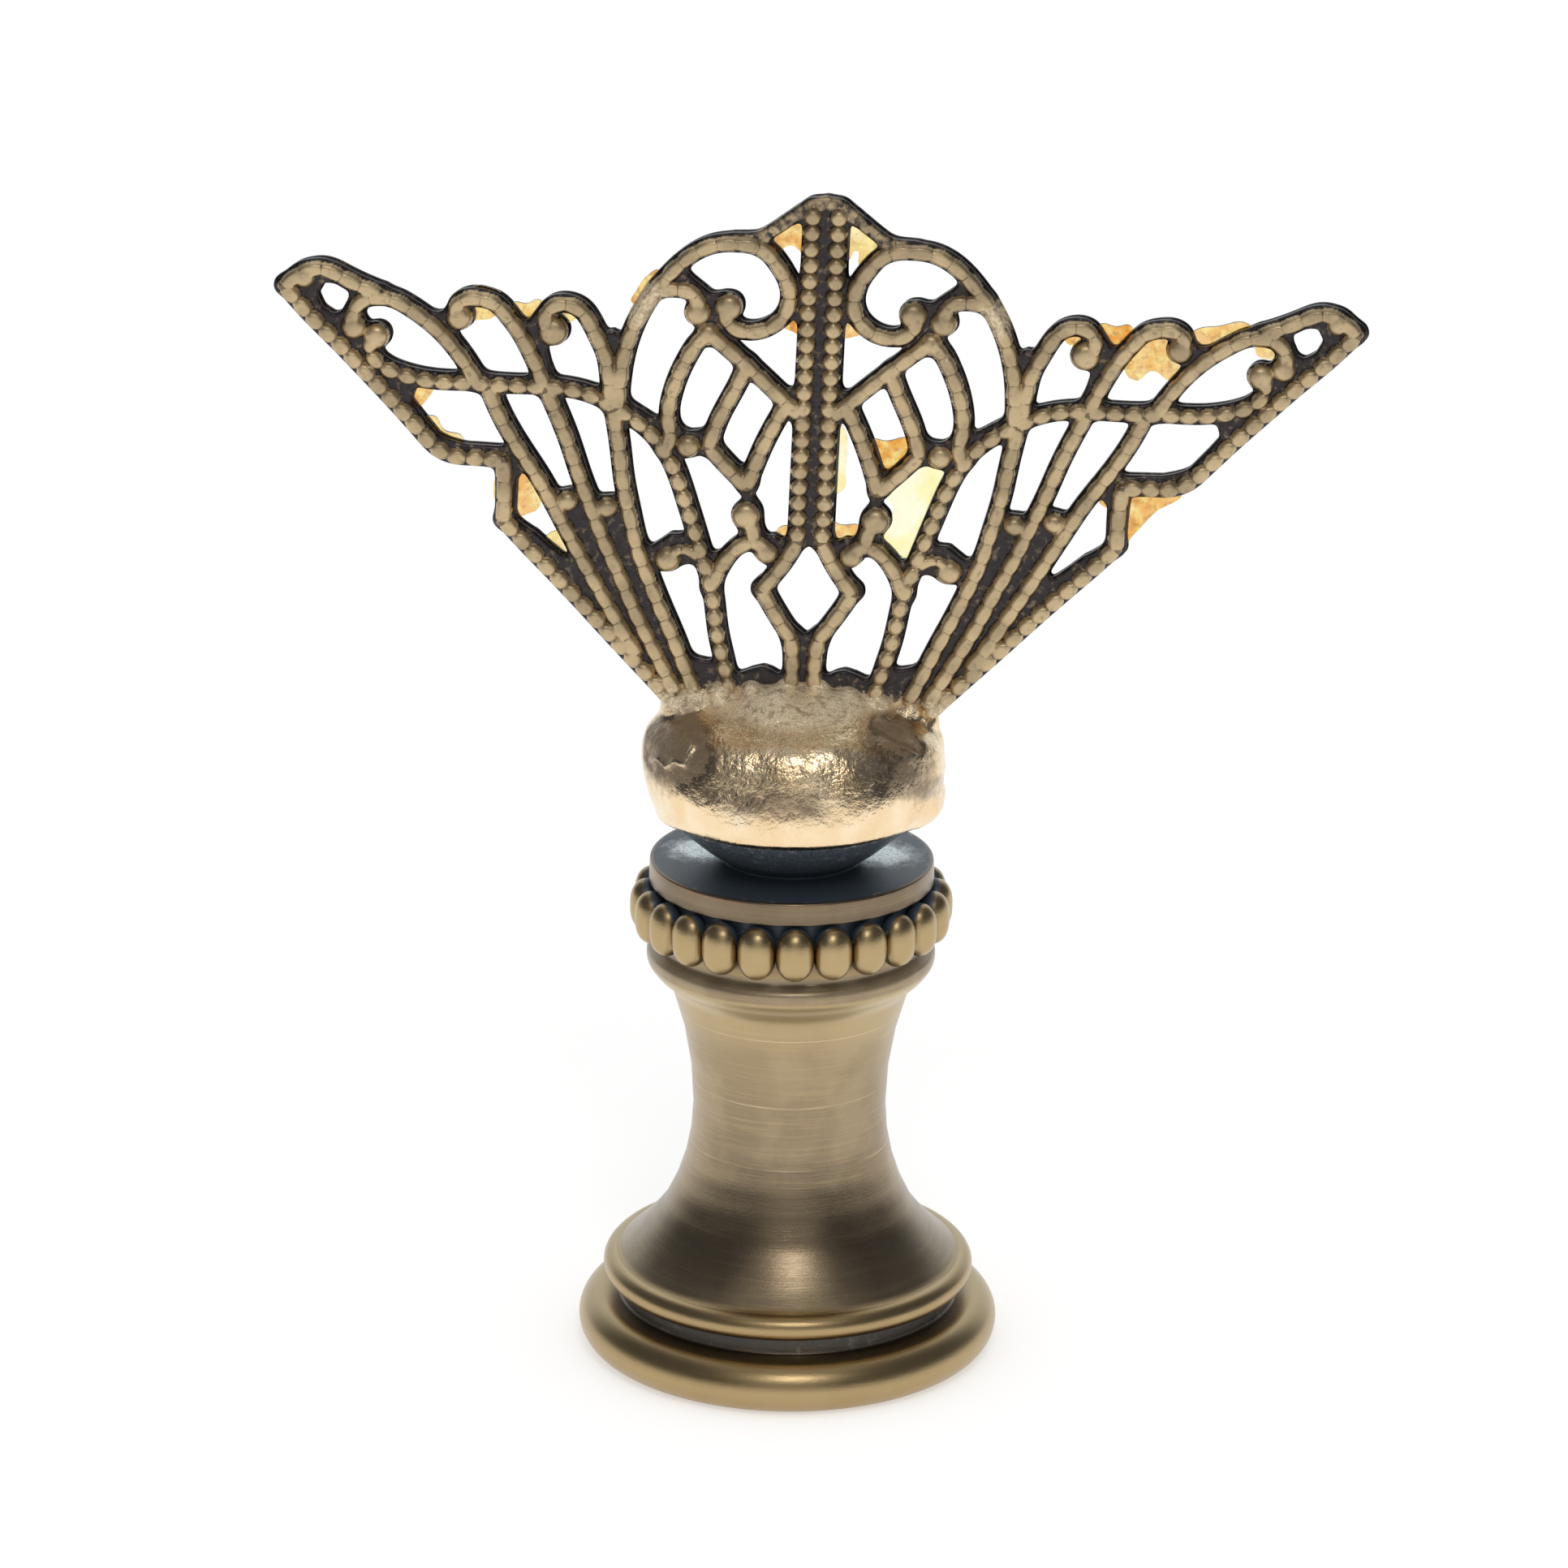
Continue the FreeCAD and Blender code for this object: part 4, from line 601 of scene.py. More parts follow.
def amber_glue():
    """Clear amber, darker and stained where the film's depth attribute is high."""
    shader = Shader("amber_glue")
    depth = shader.attribute("depth")
    mottle = shader.noise(1.6, 4.0)
    tone = shader.layers(
        AMBER_PALE,
        (mottle.range(0.35, 0.6, 0.45, 1.0) * depth, AMBER_DEEP),
        (shader.noise(0.5, 2.0).range(0.4, 0.6, 0.2, 0.9) * (1.0 - depth), AMBER_CLEAR),
        (shader.noise(2.6, 5.0).range(0.5, 0.64) * depth * 0.6, AMBER_BURNT))
    return shader.finish(
        Base_Color=tone,
        Roughness=mottle.range(0.3, 0.7, 0.05, 0.2),
        Normal=shader.bump(shader.noise(1.2, 2.0), 0.12, 0.5),
        Transmission_Weight=1.0, IOR=1.45)


# Pedestal: a profile turned about the axis. Each corner is radius, height, rounding and wear; wear above 1
# stands for a painted highlight.

ARC_STEP = math.radians(7)
TURN_STEPS = 240


def arc_points(start, end, centre):
    """Points of the short arc between two corners, without its ends."""
    first = math.atan2(start[1] - centre[1], start[0] - centre[0])
    turn = math.atan2(end[1] - centre[1], end[0] - centre[0]) - first
    turn = (turn + math.pi) % (2 * math.pi) - math.pi
    radius = math.dist(start, centre)
    steps = max(3, round(abs(turn) / ARC_STEP))
    angles = [first + turn * step / steps for step in range(1, steps)]
    return [(centre[0] + radius * math.cos(a), centre[1] + radius * math.sin(a)) for a in angles]


def level_centre(start, end, height):
    """Centre, at a given height, of an arc through two points."""
    middle = ((start[0] + end[0]) / 2, (start[1] + end[1]) / 2)
    chord = (end[0] - start[0], end[1] - start[1])
    share = (height - middle[1]) / chord[0]
    return middle[0] - chord[1] * share, height


def radius_centre(start, end, radius, side):
    """Centre of an arc of a given radius through two points, on the given side of the chord."""
    middle = ((start[0] + end[0]) / 2, (start[1] + end[1]) / 2)
    chord = (end[0] - start[0], end[1] - start[1])
    length = math.hypot(*chord)
    rise = math.sqrt(radius ** 2 - (length / 2) ** 2) * side / length
    return middle[0] + chord[1] * rise, middle[1] - chord[0] * rise


# Bore and thread, foot, neck and the ring of beads
BORE_RADIUS = 2.72
BORE_DEPTH = 10.0
BORE_CHAMFER = 0.35
BORE_WEAR = 0.6
SOCKET_WEAR = 0.1
THREAD_PITCH = 0.94
THREAD_DEPTH = 0.42
THREAD_RUN_OUT = 0.8
THREAD_LEAD_IN = 0.6
FOOT_CENTRE = (9.0, 1.25)
NECK_HEIGHT = 12.4
BEAD_COUNT = 24
BEAD_TURN = math.radians(1.5)
BEAD_ORBIT = 6.98
BEAD_BULGE = 0.8
BEAD_MIDDLE = 22.52
BEAD_HALF_HEIGHT = 1.3
BEAD_WIDENING = 1.16

# Arcs of the profile, each from one corner to the next
LIP = ((8.7, 3.45), (8.35, 4.62))
SKIRT = ((8.35, 4.62), (6.1, 7.0))
LOWER_NECK = ((6.1, 7.0), (4.68, NECK_HEIGHT))
UPPER_NECK = ((4.68, NECK_HEIGHT), (5.72, 18.4))
CAVETTO = ((5.72, 18.4), (6.5, 19.25))
CUP = ((3.25, 25.0), (6.05, 27.4))


def cavetto_centre():
    """The shoulder's arc goes on from the neck's without a corner."""
    start, end = CAVETTO
    centre = level_centre(*UPPER_NECK, NECK_HEIGHT)
    across = ((start[0] - centre[0]), (start[1] - centre[1]))
    length = math.hypot(*across)
    across = (across[0] / length, across[1] / length)
    chord = (end[0] - start[0], end[1] - start[1])
    reach = (chord[0] ** 2 + chord[1] ** 2) / (2 * (chord[0] * across[0] + chord[1] * across[1]))
    return start[0] + across[0] * reach, start[1] + across[1] * reach


def pedestal_profile():
    """Radius, height, rounding and wear from the bore's mouth, up the outside and down into the cup. Wear
    above 1 is a painted highlight on the shoulder.
    """
    profile = [(BORE_RADIUS + BORE_CHAMFER, 0.0, 0.05, 0.5), (9.0, 0.0, 0.0, 0.75)]

    def arc(span, centre, wear_start, wear_end):
        points = arc_points(*span, centre)
        for index, (radius, height) in enumerate(points, start=1):
            share = index / (len(points) + 1)
            profile.append((radius, height, 0.0, wear_start + (wear_end - wear_start) * share))

    arc(((9.0, 0.0), (10.25, 1.25)), FOOT_CENTRE, 0.75, 0.95)
    profile.append((10.25, 1.25, 0.0, 0.95))
    arc(((10.25, 1.25), (9.0, 2.5)), FOOT_CENTRE, 0.95, 0.7)
    profile += [(9.0, 2.5, 0.0, 0.6), (8.2, 2.5, 0.15, 0.32), (8.2, 3.45, 0.15, 0.22),
                (8.7, 3.45, 0.1, 0.45)]
    arc(LIP, radius_centre(*LIP, 0.62, -1), 0.7, 1.0)
    profile.append((8.35, 4.62, 0.0, 0.85))
    arc(SKIRT, radius_centre(*SKIRT, 10.8, 1), 0.72, 0.52)
    profile.append((6.1, 7.0, 0.0, 0.55))
    arc(LOWER_NECK, level_centre(*LOWER_NECK, NECK_HEIGHT), 0.5, 0.93)
    profile.append((4.68, NECK_HEIGHT, 0.0, 0.93))
    arc(UPPER_NECK, level_centre(*UPPER_NECK, NECK_HEIGHT), 0.93, 0.97)
    profile.append((5.72, 18.4, 0.0, 1.0))
    # The shoulder's wear over 1 stands for a painted highlight, not wear.
    arc(CAVETTO, cavetto_centre(), 1.05, 1.35)
    profile += [
        (6.5, 19.25, 0.3, 1.4), (6.97, 19.85, 0.3, 0.95), (6.97, 20.45, 0.2, 0.8),
        (6.45, 20.8, 0.1, 0.8), (6.45, 21.4, 0.0, 0.35), (6.45, 23.9, 0.05, 0.02),
        (6.87, 23.9, 0.08, 0.4), (6.85, 24.45, 0.0, 0.53), (6.82, 25.0, 0.09, 0.5),
        (6.5, 25.0, 0.0, 0.05), (3.25, 25.0, 0.2, 0.03),
    ]
    arc(CUP, radius_centre(*CUP, 14.0, -1), 0.04, 0.08)
    profile += [(6.05, 27.4, 0.06, 0.1), (5.65, 27.4, 0.06, 0.1), (3.7, 26.25, 0.05, 0.05),
                (2.12, 26.25, 0.0, 0.1), (2.12, 20.25, 0.0, 0.1)]
    return profile


# Steps round a corner, the most of a side that a rounding takes, and the longest run left undivided
ROUND_STEPS = 4
MOST_OF_SIDE = 0.45
LONGEST_RUN = 0.45


def rounded(profile):
    """The profile with its corners rounded and its long runs divided, as rows of radius, height, wear."""
    rows = []
    for index, (radius, height, rounding, wear) in enumerate(profile):
        here = np.array((radius, height, wear))
        if rounding == 0 or index in (0, len(profile) - 1):
            rows.append(here)
            continue
        before = np.array(profile[index - 1])[[0, 1, 3]]
        after = np.array(profile[index + 1])[[0, 1, 3]]
        ends = []
        for other in (before, after):
            length = np.hypot(*(other - here)[:2])
            ends.append(here + (other - here) * min(rounding / length, MOST_OF_SIDE))
        for step in range(ROUND_STEPS + 1):
            t = step / ROUND_STEPS
            rows.append(ends[0] * (1 - t) ** 2 + here * 2 * t * (1 - t) + ends[1] * t ** 2)
    divided = [rows[0]]
    for row in rows[1:]:
        length = np.hypot(*(row - divided[-1])[:2])
        parts = max(1, math.ceil(length / LONGEST_RUN))
        start = divided[-1]
        divided += [start + (row - start) * part / parts for part in range(1, parts + 1)]
    return np.array(divided)


def turned(rows, steps):
    """Points of the profile turned about the axis, ring by ring, and their wear."""
    angles = np.arange(steps) * 2 * math.pi / steps
    radius, height = rows[:, 0, None], rows[:, 1, None]
    points = np.stack([radius * np.cos(angles), radius * np.sin(angles), height + 0 * angles], axis=-1)
    return points.reshape(-1, 3), np.repeat(rows[:, 2], steps)


THREAD_STEPS = 72
THREAD_ROWS_PER_TURN = 8


def thread_points():
    """The bore's wall as a screw thread, cut outwards from the bore, from its top down to its mouth."""
    rows = round((BORE_DEPTH - BORE_CHAMFER) / THREAD_PITCH * THREAD_ROWS_PER_TURN)
    heights = np.linspace(BORE_DEPTH, BORE_CHAMFER, rows)[:, None]
    angles = (np.arange(THREAD_STEPS) * 2 * math.pi / THREAD_STEPS)[None, :]
    phase = (heights / THREAD_PITCH - angles / (2 * math.pi)) % 1
    groove = 1 - np.abs(2 * phase - 1)
    fade = (smooth_step(0, THREAD_RUN_OUT, BORE_DEPTH - heights)
            * smooth_step(0, THREAD_LEAD_IN, heights - BORE_CHAMFER))
    radius = BORE_RADIUS + THREAD_DEPTH * groove * fade
    points = np.stack([radius * np.cos(angles), radius * np.sin(angles), heights + 0 * angles], axis=-1)
    return points.reshape(-1, 3), rows


def closing_fan(centre, ring):
    """Triangles from a middle point to a ring of points."""
    return [[centre, ring[index], ring[(index + 1) % len(ring)]] for index in range(len(ring))]


BEAD_ROWS = 20
BEAD_SIDES = 20
BEAD_FULLNESS = 2.7
BEAD_TIP_WEAR = 0.1


def add_beads(builder):
    """Olive beads round the core, worn on their outer faces and dark between them."""
    rise = np.sin(np.linspace(-math.pi / 2, math.pi / 2, BEAD_ROWS + 1)[1:-1])[:, None]
    swell = (1 - np.abs(rise) ** BEAD_FULLNESS) ** 0.5 * BEAD_BULGE
    angles = (np.arange(BEAD_SIDES) * 2 * math.pi / BEAD_SIDES)[None, :]
    out = swell * np.cos(angles)
    along = swell * np.sin(angles) * BEAD_WIDENING
    heights = BEAD_MIDDLE + rise * BEAD_HALF_HEIGHT + 0 * angles
    # Outer faces are worn. The flanks and the ends stay dark, the upper end more than the lower.
    facing = np.cos(angles) * (1 - 0.4 * np.abs(rise) ** 3) - 0.3 * np.maximum(rise, 0)
    wear = smooth_step(-0.25, 0.6, facing) * 0.98
    rows = BEAD_ROWS - 1
    faces = ring_faces(rows, BEAD_SIDES)
    top, bottom = rows * BEAD_SIDES, rows * BEAD_SIDES + 1
    faces += closing_fan(top, list(range((rows - 1) * BEAD_SIDES, rows * BEAD_SIDES)))
    faces += [face[::-1] for face in closing_fan(bottom, list(range(BEAD_SIDES)))]
    for number in range(BEAD_COUNT):
        turn = BEAD_TURN + number * 2 * math.pi / BEAD_COUNT
        radius = BEAD_ORBIT + out
        x = radius * math.cos(turn) - along * math.sin(turn)
        y = radius * math.sin(turn) + along * math.cos(turn)
        points = np.stack([x, y, heights], axis=-1).reshape(-1, 3)
        middle = BEAD_ORBIT * math.cos(turn), BEAD_ORBIT * math.sin(turn)
        tips = [(*middle, BEAD_MIDDLE + side * BEAD_HALF_HEIGHT) for side in (1, -1)]
        builder.add(np.vstack([points, tips]), faces, np.append(wear.ravel(), [BEAD_TIP_WEAR] * 2))


def mouth_faces(inner, inner_count, outer_count):
    """Triangles between the thread's last ring and the profile's first, which have different counts."""
    faces = []
    i = j = 0
    while i < inner_count or j < outer_count:
        a, b = inner + i % inner_count, j % outer_count
        if j == outer_count or (i < inner_count and (i + 1) * outer_count <= (j + 1) * inner_count):
            i += 1
            faces.append([a, inner + i % inner_count, b])
        else:
            j += 1
            faces.append([a, j % outer_count, b])
    return faces


def make_pedestal():
    """The turned part with its socket and its threaded bore as one closed shape, and the ring of beads."""
    builder = Builder()
    rows = rounded(pedestal_profile())
    points, wear = turned(rows, TURN_STEPS)
    count = len(rows)
    faces = ring_faces(count, TURN_STEPS)
    socket = count * TURN_STEPS
    faces += closing_fan(socket, list(range((count - 1) * TURN_STEPS, count * TURN_STEPS)))
    bore, bore_rows = thread_points()
    start = socket + 1
    faces += [[start + index for index in face] for face in ring_faces(bore_rows, THREAD_STEPS)]
    roof = start + bore_rows * THREAD_STEPS
    faces += [face[::-1] for face in closing_fan(roof, list(range(start, start + THREAD_STEPS)))]
    mouth = start + (bore_rows - 1) * THREAD_STEPS
    faces += mouth_faces(mouth, THREAD_STEPS, TURN_STEPS)
    everything = np.vstack([points, [(0, 0, rows[-1][1])], bore, [(0, 0, BORE_DEPTH)]])
    values = np.concatenate([wear, [SOCKET_WEAR], np.full(len(bore) + 1, BORE_WEAR)])
    builder.add(everything, faces, values)
    add_beads(builder)
    add_mesh("pedestal", builder.all_points(), builder.faces, antique_brass(), "antique_brass",
             "pedestal_base", wear=builder.all_values())


# Ornament

def ornament_points(uv_depth, side, shift=0.0):
    """Points of the drawing, as u, height over the face and v, set in place on the front or back face."""
    u, out, v = uv_depth[:, 0], uv_depth[:, 1], uv_depth[:, 2]
    cos, sin = math.cos(ORNAMENT_LEAN), math.sin(ORNAMENT_LEAN)
    x = ORNAMENT_ORIGIN.x + shift + u * cos + v * sin
    y = side * (FACE_DEPTH + out)
    z = ORNAMENT_ORIGIN.z - u * sin + v * cos
    return np.stack([x, y, z], axis=-1)


# Distance between the places along a line
LINE_STEP = 0.02


def smooth_line(points):
    """Places along a natural cubic curve through points, and the length to each."""
    points = np.array(points, float)
    spans = np.hypot(*np.diff(points, axis=0).T)
    knots = np.concatenate([[0], np.cumsum(spans)])
    count = len(points)
    matrix = np.eye(count)
    right = np.zeros((count, 2))
    for k in range(1, count - 1):
        matrix[k, k - 1:k + 2] = spans[k - 1], 2 * (spans[k - 1] + spans[k]), spans[k]
        right[k] = 6 * ((points[k + 1] - points[k]) / spans[k] - (points[k] - points[k - 1]) / spans[k - 1])
    bend = np.linalg.solve(matrix, right)
    stops = np.linspace(0, knots[-1], max(8, round(knots[-1] / LINE_STEP)))
    k = np.clip(np.searchsorted(knots, stops, side="right") - 1, 0, count - 2)
    span, t = spans[k][:, None], (stops - knots[k])[:, None]
    rest = span - t
    places = ((bend[k] * rest ** 3 + bend[k + 1] * t ** 3) / (6 * span)
              + (points[k] / span - bend[k] * span / 6) * rest
              + (points[k + 1] / span - bend[k + 1] * span / 6) * t)
    steps = np.hypot(*np.diff(places, axis=0).T)
    lengths = np.concatenate([[0], np.cumsum(steps)])
    return places, lengths


def smooth_union(first, second, softness):
    """The lower of two fields, rounded where they meet."""
    share = np.clip(0.5 + 0.5 * (second - first) / softness, 0, 1)
    return second * (1 - share) + first * share - softness * share * (1 - share)


def polygon_distance(u, v, corners):
    """Distance of places from a closed outline, under 0 inside it."""
    inside = np.zeros(np.broadcast(u, v).shape, bool)
    nearest = np.full(inside.shape, FAR)
    for (u0, v0), (u1, v1) in zip(corners, corners[1:] + corners[:1]):
        run, rise = u1 - u0, v1 - v0
        share = np.clip(((u - u0) * run + (v - v0) * rise) / (run ** 2 + rise ** 2), 0, 1)
        nearest = np.minimum(nearest, np.hypot(u - u0 - share * run, v - v0 - share * rise))
        if rise != 0:
            inside ^= ((v0 > v) != (v1 > v)) & (u < u0 + (v - v0) * run / rise)
    return np.where(inside, -nearest, nearest)


# The drawing's grid, which ends at the middle, where the right half joins it
GRID_STEP = 0.07
GRID_REACH = 26.0
GRID_BOTTOM = 0.6
GRID_TOP = 27.2
# Where plain ground that crosses the middle ends, and a distance that stands for nowhere near
PAST_MIDDLE = 0.6
FAR = 9.0
# Half widths of a strand and of its ridge, how square the ridge is, and rounding where outlines meet
STRAND_HALF = 0.45
RIDGE_HALF = 0.36
FLATNESS = 6.0
FILLET = 0.3
# Bosses: height against a ridge's, how much wider than the boss its dome is, how far the outline lies outside
# the boss, and how full the dome is
BOSS_RISE = 1.12
DOME_WIDENING = 1.06
BOSS_MARGIN = 0.07
BOSS_FULLNESS = 3
# How far the part of the grid that is worked on reaches past a ground's corners and from a boss's middle
GROUND_MARGIN = 1.0
BOSS_WINDOW = 1.5
# Ridges that cross: rounding, how much higher one is that hides another's joints, the least that counts as a
# ridge, and the distance to a joint where there is none
SOFT_CROSSING = 0.12
HIDING_RISE = 0.02
LEAST_RIDGE = 0.01
NO_JOINT = 0.5


class Drawing:
    """The left half of the ornament on a square grid: outline, ridges and the joints cut across them."""

    def __init__(self):
        self.u = np.arange(-round(GRID_REACH / GRID_STEP), 1) * GRID_STEP
        self.v = GRID_BOTTOM + np.arange(round((GRID_TOP - GRID_BOTTOM) / GRID_STEP)) * GRID_STEP
        shape = (len(self.v), len(self.u))
        self.outline = np.full(shape, FAR)
        self.ridge = np.zeros(shape)
        self.joint = np.full(shape, NO_JOINT)
        for name, corners in GROUNDS.items():
            self.add_ground(corners, TIP_HOLE if name == "tip" else None)
        self.add_ground([(PAST_MIDDLE, ROOT_TOP[0][1])] + ROOT_TOP + ROOT_SIDE
                        + [ROOT_FLOOR, (PAST_MIDDLE, ROOT_FLOOR[1])])
        for name, points in STRANDS.items():
            self.add_strand(name, points)
        for u, v, radius in BOSSES.values():
            self.add_boss(u, v, radius)
        self.soften()

    def window(self, low, high):
        """The part of the grid between two corners."""
        first_u, last_u = np.searchsorted(self.u, (low[0], high[0]))
        first_v, last_v = np.searchsorted(self.v, (low[1], high[1]))
        return slice(first_v, last_v), slice(first_u, last_u)

    def add_outline(self, part, distance):
        """Joins a shape to the outline, with a fillet where they meet."""
        self.outline[part] = smooth_union(self.outline[part], distance, FILLET)

    def add_ground(self, corners, hole=None):
        """Adds a plain piece without a ridge, less a hole."""
        corners = [(PAST_MIDDLE if u > 0 else u, v) for u, v in corners]
        part = self.window(np.min(corners, axis=0) - GROUND_MARGIN, np.max(corners, axis=0) + GROUND_MARGIN)
        u, v = self.u[part[1]][None, :], self.v[part[0]][:, None]
        distance = polygon_distance(u, v, corners)
        if hole:
            distance = -smooth_union(-distance, polygon_distance(u, v, hole), FILLET)
        self.add_outline(part, distance)

    def near_line(self, points, reach):
        """The grid's part near a line, with the distance from the line and the length along it."""
        places, lengths = smooth_line(points)
        part = self.window(places.min(axis=0) - reach, places.max(axis=0) + reach)
        u, v = self.u[part[1]], self.v[part[0]]
        square = np.full((len(v), len(u)), reach ** 2)
        along = np.zeros(square.shape)
        headings = np.gradient(places, axis=0)
        headings /= np.hypot(*headings.T)[:, None]
        for (pu, pv), length, (hu, hv) in zip(places[::2], lengths[::2], headings[::2]):
            first_u, last_u = np.searchsorted(u, (pu - reach, pu + reach))
            first_v, last_v = np.searchsorted(v, (pv - reach, pv + reach))
            near = slice(first_v, last_v), slice(first_u, last_u)
            du, dv = u[near[1]][None, :] - pu, v[near[0]][:, None] - pv
            here = du ** 2 + dv ** 2
            closer = here < square[near]
            square[near][closer] = here[closer]
            along[near][closer] = (length + du * hu + dv * hv)[closer]
        return part, np.sqrt(square), np.clip(along, 0, lengths[-1]), lengths[-1]

    def add_strand(self, name, points):
        """Adds a strand's outline and its ridge, with cuts across it at an even pitch."""
        reach = STRAND_HALF + FILLET + GRID_STEP
        part, distance, along, length = self.near_line(points, reach)
        half = STRAND_HALVES.get(name, STRAND_HALF)
        self.add_outline(part, np.where(distance < reach, distance - half, FAR))
        pitch, cut, faintness = MILLED.get(name, PLAIN_MILLING)
        pitch = length / max(1, round(length / pitch))
        within = along % pitch
        away = np.minimum(within, pitch - within)
        half = RIDGE_HALF * RIDGE_WIDTHS.get(name, 1.0)
        square = (distance / half) ** 2 + cut * (1 - 2 * away / pitch) ** 2
        share = np.clip(1 - square ** (FLATNESS / 2), 0, 1) ** 0.5 * RIDGE_RISES.get(name, 1.0)
        self.add_ridge(part, share, away + faintness)

    def add_boss(self, u, v, radius):
        """Adds a round boss with its dome."""
        part = self.window((u - BOSS_WINDOW, v - BOSS_WINDOW), (u + BOSS_WINDOW, v + BOSS_WINDOW))
        distance = np.hypot(self.u[part[1]][None, :] - u, self.v[part[0]][:, None] - v)
        self.add_outline(part, distance - radius - BOSS_MARGIN)
        within = np.clip(1 - (distance / (radius * DOME_WIDENING)) ** BOSS_FULLNESS, 0, 1)
        dome = BOSS_RISE * within ** 0.5
        self.add_ridge(part, dome, np.full(dome.shape, NO_JOINT))

    def add_ridge(self, part, share, joint):
        """Lays a ridge over those before it. The higher one's joints show."""
        higher = share > self.ridge[part] + HIDING_RISE
        self.joint[part] = np.where(higher, joint, self.joint[part])
        both = (share > LEAST_RIDGE) & (self.ridge[part] > LEAST_RIDGE)
        joined = -smooth_union(-self.ridge[part], -share, SOFT_CROSSING)
        self.ridge[part] = np.where(both, joined, np.maximum(self.ridge[part], share))

    def soften(self):
        """Rounds the outline's last corners a little."""
        for _ in range(2):
            wide = np.pad(self.outline, 1, mode="edge")
            wide = (wide[:-2] + 2 * wide[1:-1] + wide[2:]) / 4
            self.outline = (wide[:, :-2] + 2 * wide[:, 1:-1] + wide[:, 2:]) / 4

    def sample(self, field, places):
        """A field's values at places between the grid's nodes."""
        column = np.clip((places[:, 0] - self.u[0]) / GRID_STEP, 0, len(self.u) - 1.001)
        row = np.clip((places[:, 1] - self.v[0]) / GRID_STEP, 0, len(self.v) - 1.001)
        i, j = row.astype(int), column.astype(int)
        y, x = row - i, column - j
        return ((field[i, j] * (1 - x) + field[i, j + 1] * x) * (1 - y)
                + (field[i + 1, j] * (1 - x) + field[i + 1, j + 1] * x) * y)


# Nodes closer to the outline than this share of a cell are moved onto it. The least square of a slope keeps
# the move short where the field is flat.
SNAP = 0.4
LEAST_SLOPE = 0.05


def inside_mesh(drawing):
    """Places and faces over the drawing's inside. Nodes next to the outline are moved onto it."""
    field = drawing.outline.copy()
    rows, columns = field.shape
    slope_v, slope_u = np.gradient(field, GRID_STEP)
    slope_u[:, -1] = 0
    steepness = np.maximum(slope_u ** 2 + slope_v ** 2, LEAST_SLOPE)
    places = np.stack(np.broadcast_arrays(drawing.u[None, :], drawing.v[:, None]), axis=-1).copy()
    close = np.abs(field) < SNAP * GRID_STEP * np.sqrt(steepness)
    for axis, slope in enumerate((slope_u, slope_v)):
        places[..., axis] -= np.where(close, field * slope / steepness, 0)
    field[close] = 0
    places = places.reshape(-1, 2)
    values = field.ravel()
    node = np.arange(rows * columns).reshape(rows, columns)
    cells = np.stack([node[:-1, :-1], node[:-1, 1:], node[1:, 1:], node[1:, :-1]], axis=-1).reshape(-1, 4)
    levels = values[cells]
    low, high = levels.min(axis=1), levels.max(axis=1)
    faces = cells[(high <= 0) & (low < 0)].tolist()
    crossings = {}
    extra = []
    for cell in cells[(high > 0) & (low <= 0)].tolist():
        outline = []
        for a, b in zip(cell, cell[1:] + cell[:1]):
            if values[a] <= 0:
                outline.append(a)
            if values[a] * values[b] < 0:
                key = (min(a, b), max(a, b))
                if key not in crossings:
                    share = values[a] / (values[a] - values[b])
                    crossings[key] = len(places) + len(extra)
                    extra.append(places[a] + (places[b] - places[a]) * share)
                outline.append(crossings[key])
        if len(outline) > 2:
            faces.append(outline)
    places = np.vstack([places, np.array(extra)])
    used = np.unique(np.concatenate([np.array(face) for face in faces]))
    renumbered = np.zeros(len(places), int)
    renumbered[used] = np.arange(len(used))
    return places[used], [renumbered[face].tolist() for face in faces]


def open_edges(faces):
    """Edges that only one face has, in that face's direction."""
    edges = {(a, b) for face in faces for a, b in zip(face, face[1:] + face[:1])}
    return [(a, b) for a, b in edges if (b, a) not in edges]


def filled(places, edges):
    """Triangles over the inside of flat loops, by the numbers of their corners."""
    work = bmesh.new()
    rim = sorted({index for edge in edges for index in edge})
    verts = {index: work.verts.new((places[index][0], places[index][1], 0)) for index in rim}
    lines = [work.edges.new((verts[a], verts[b])) for a, b in edges]
    numbers = {vert: index for index, vert in verts.items()}
    result = bmesh.ops.triangle_fill(work, use_beauty=True, edges=lines, normal=(0, 0, 1))
    faces = [[numbers[vert] for vert in item.verts] for item in result["geom"]
             if isinstance(item, bmesh.types.BMFace)]
    turned_faces = []
    for a, b, c in faces:
        across = np.cross(places[b] - places[a], places[c] - places[a])
        turned_faces.append([a, b, c] if across < 0 else [a, c, b])
    work.free()
    return turned_faces


# Heights against the face: plain ground, a ridge over it, the edges' drop and reach, and the sheet's back
GROUND_LEVEL = -0.26
RIDGE_RISE = 0.40
EDGE_DROP = 0.09
EDGE_REACH = 0.14
SHEET_BACK = -0.60


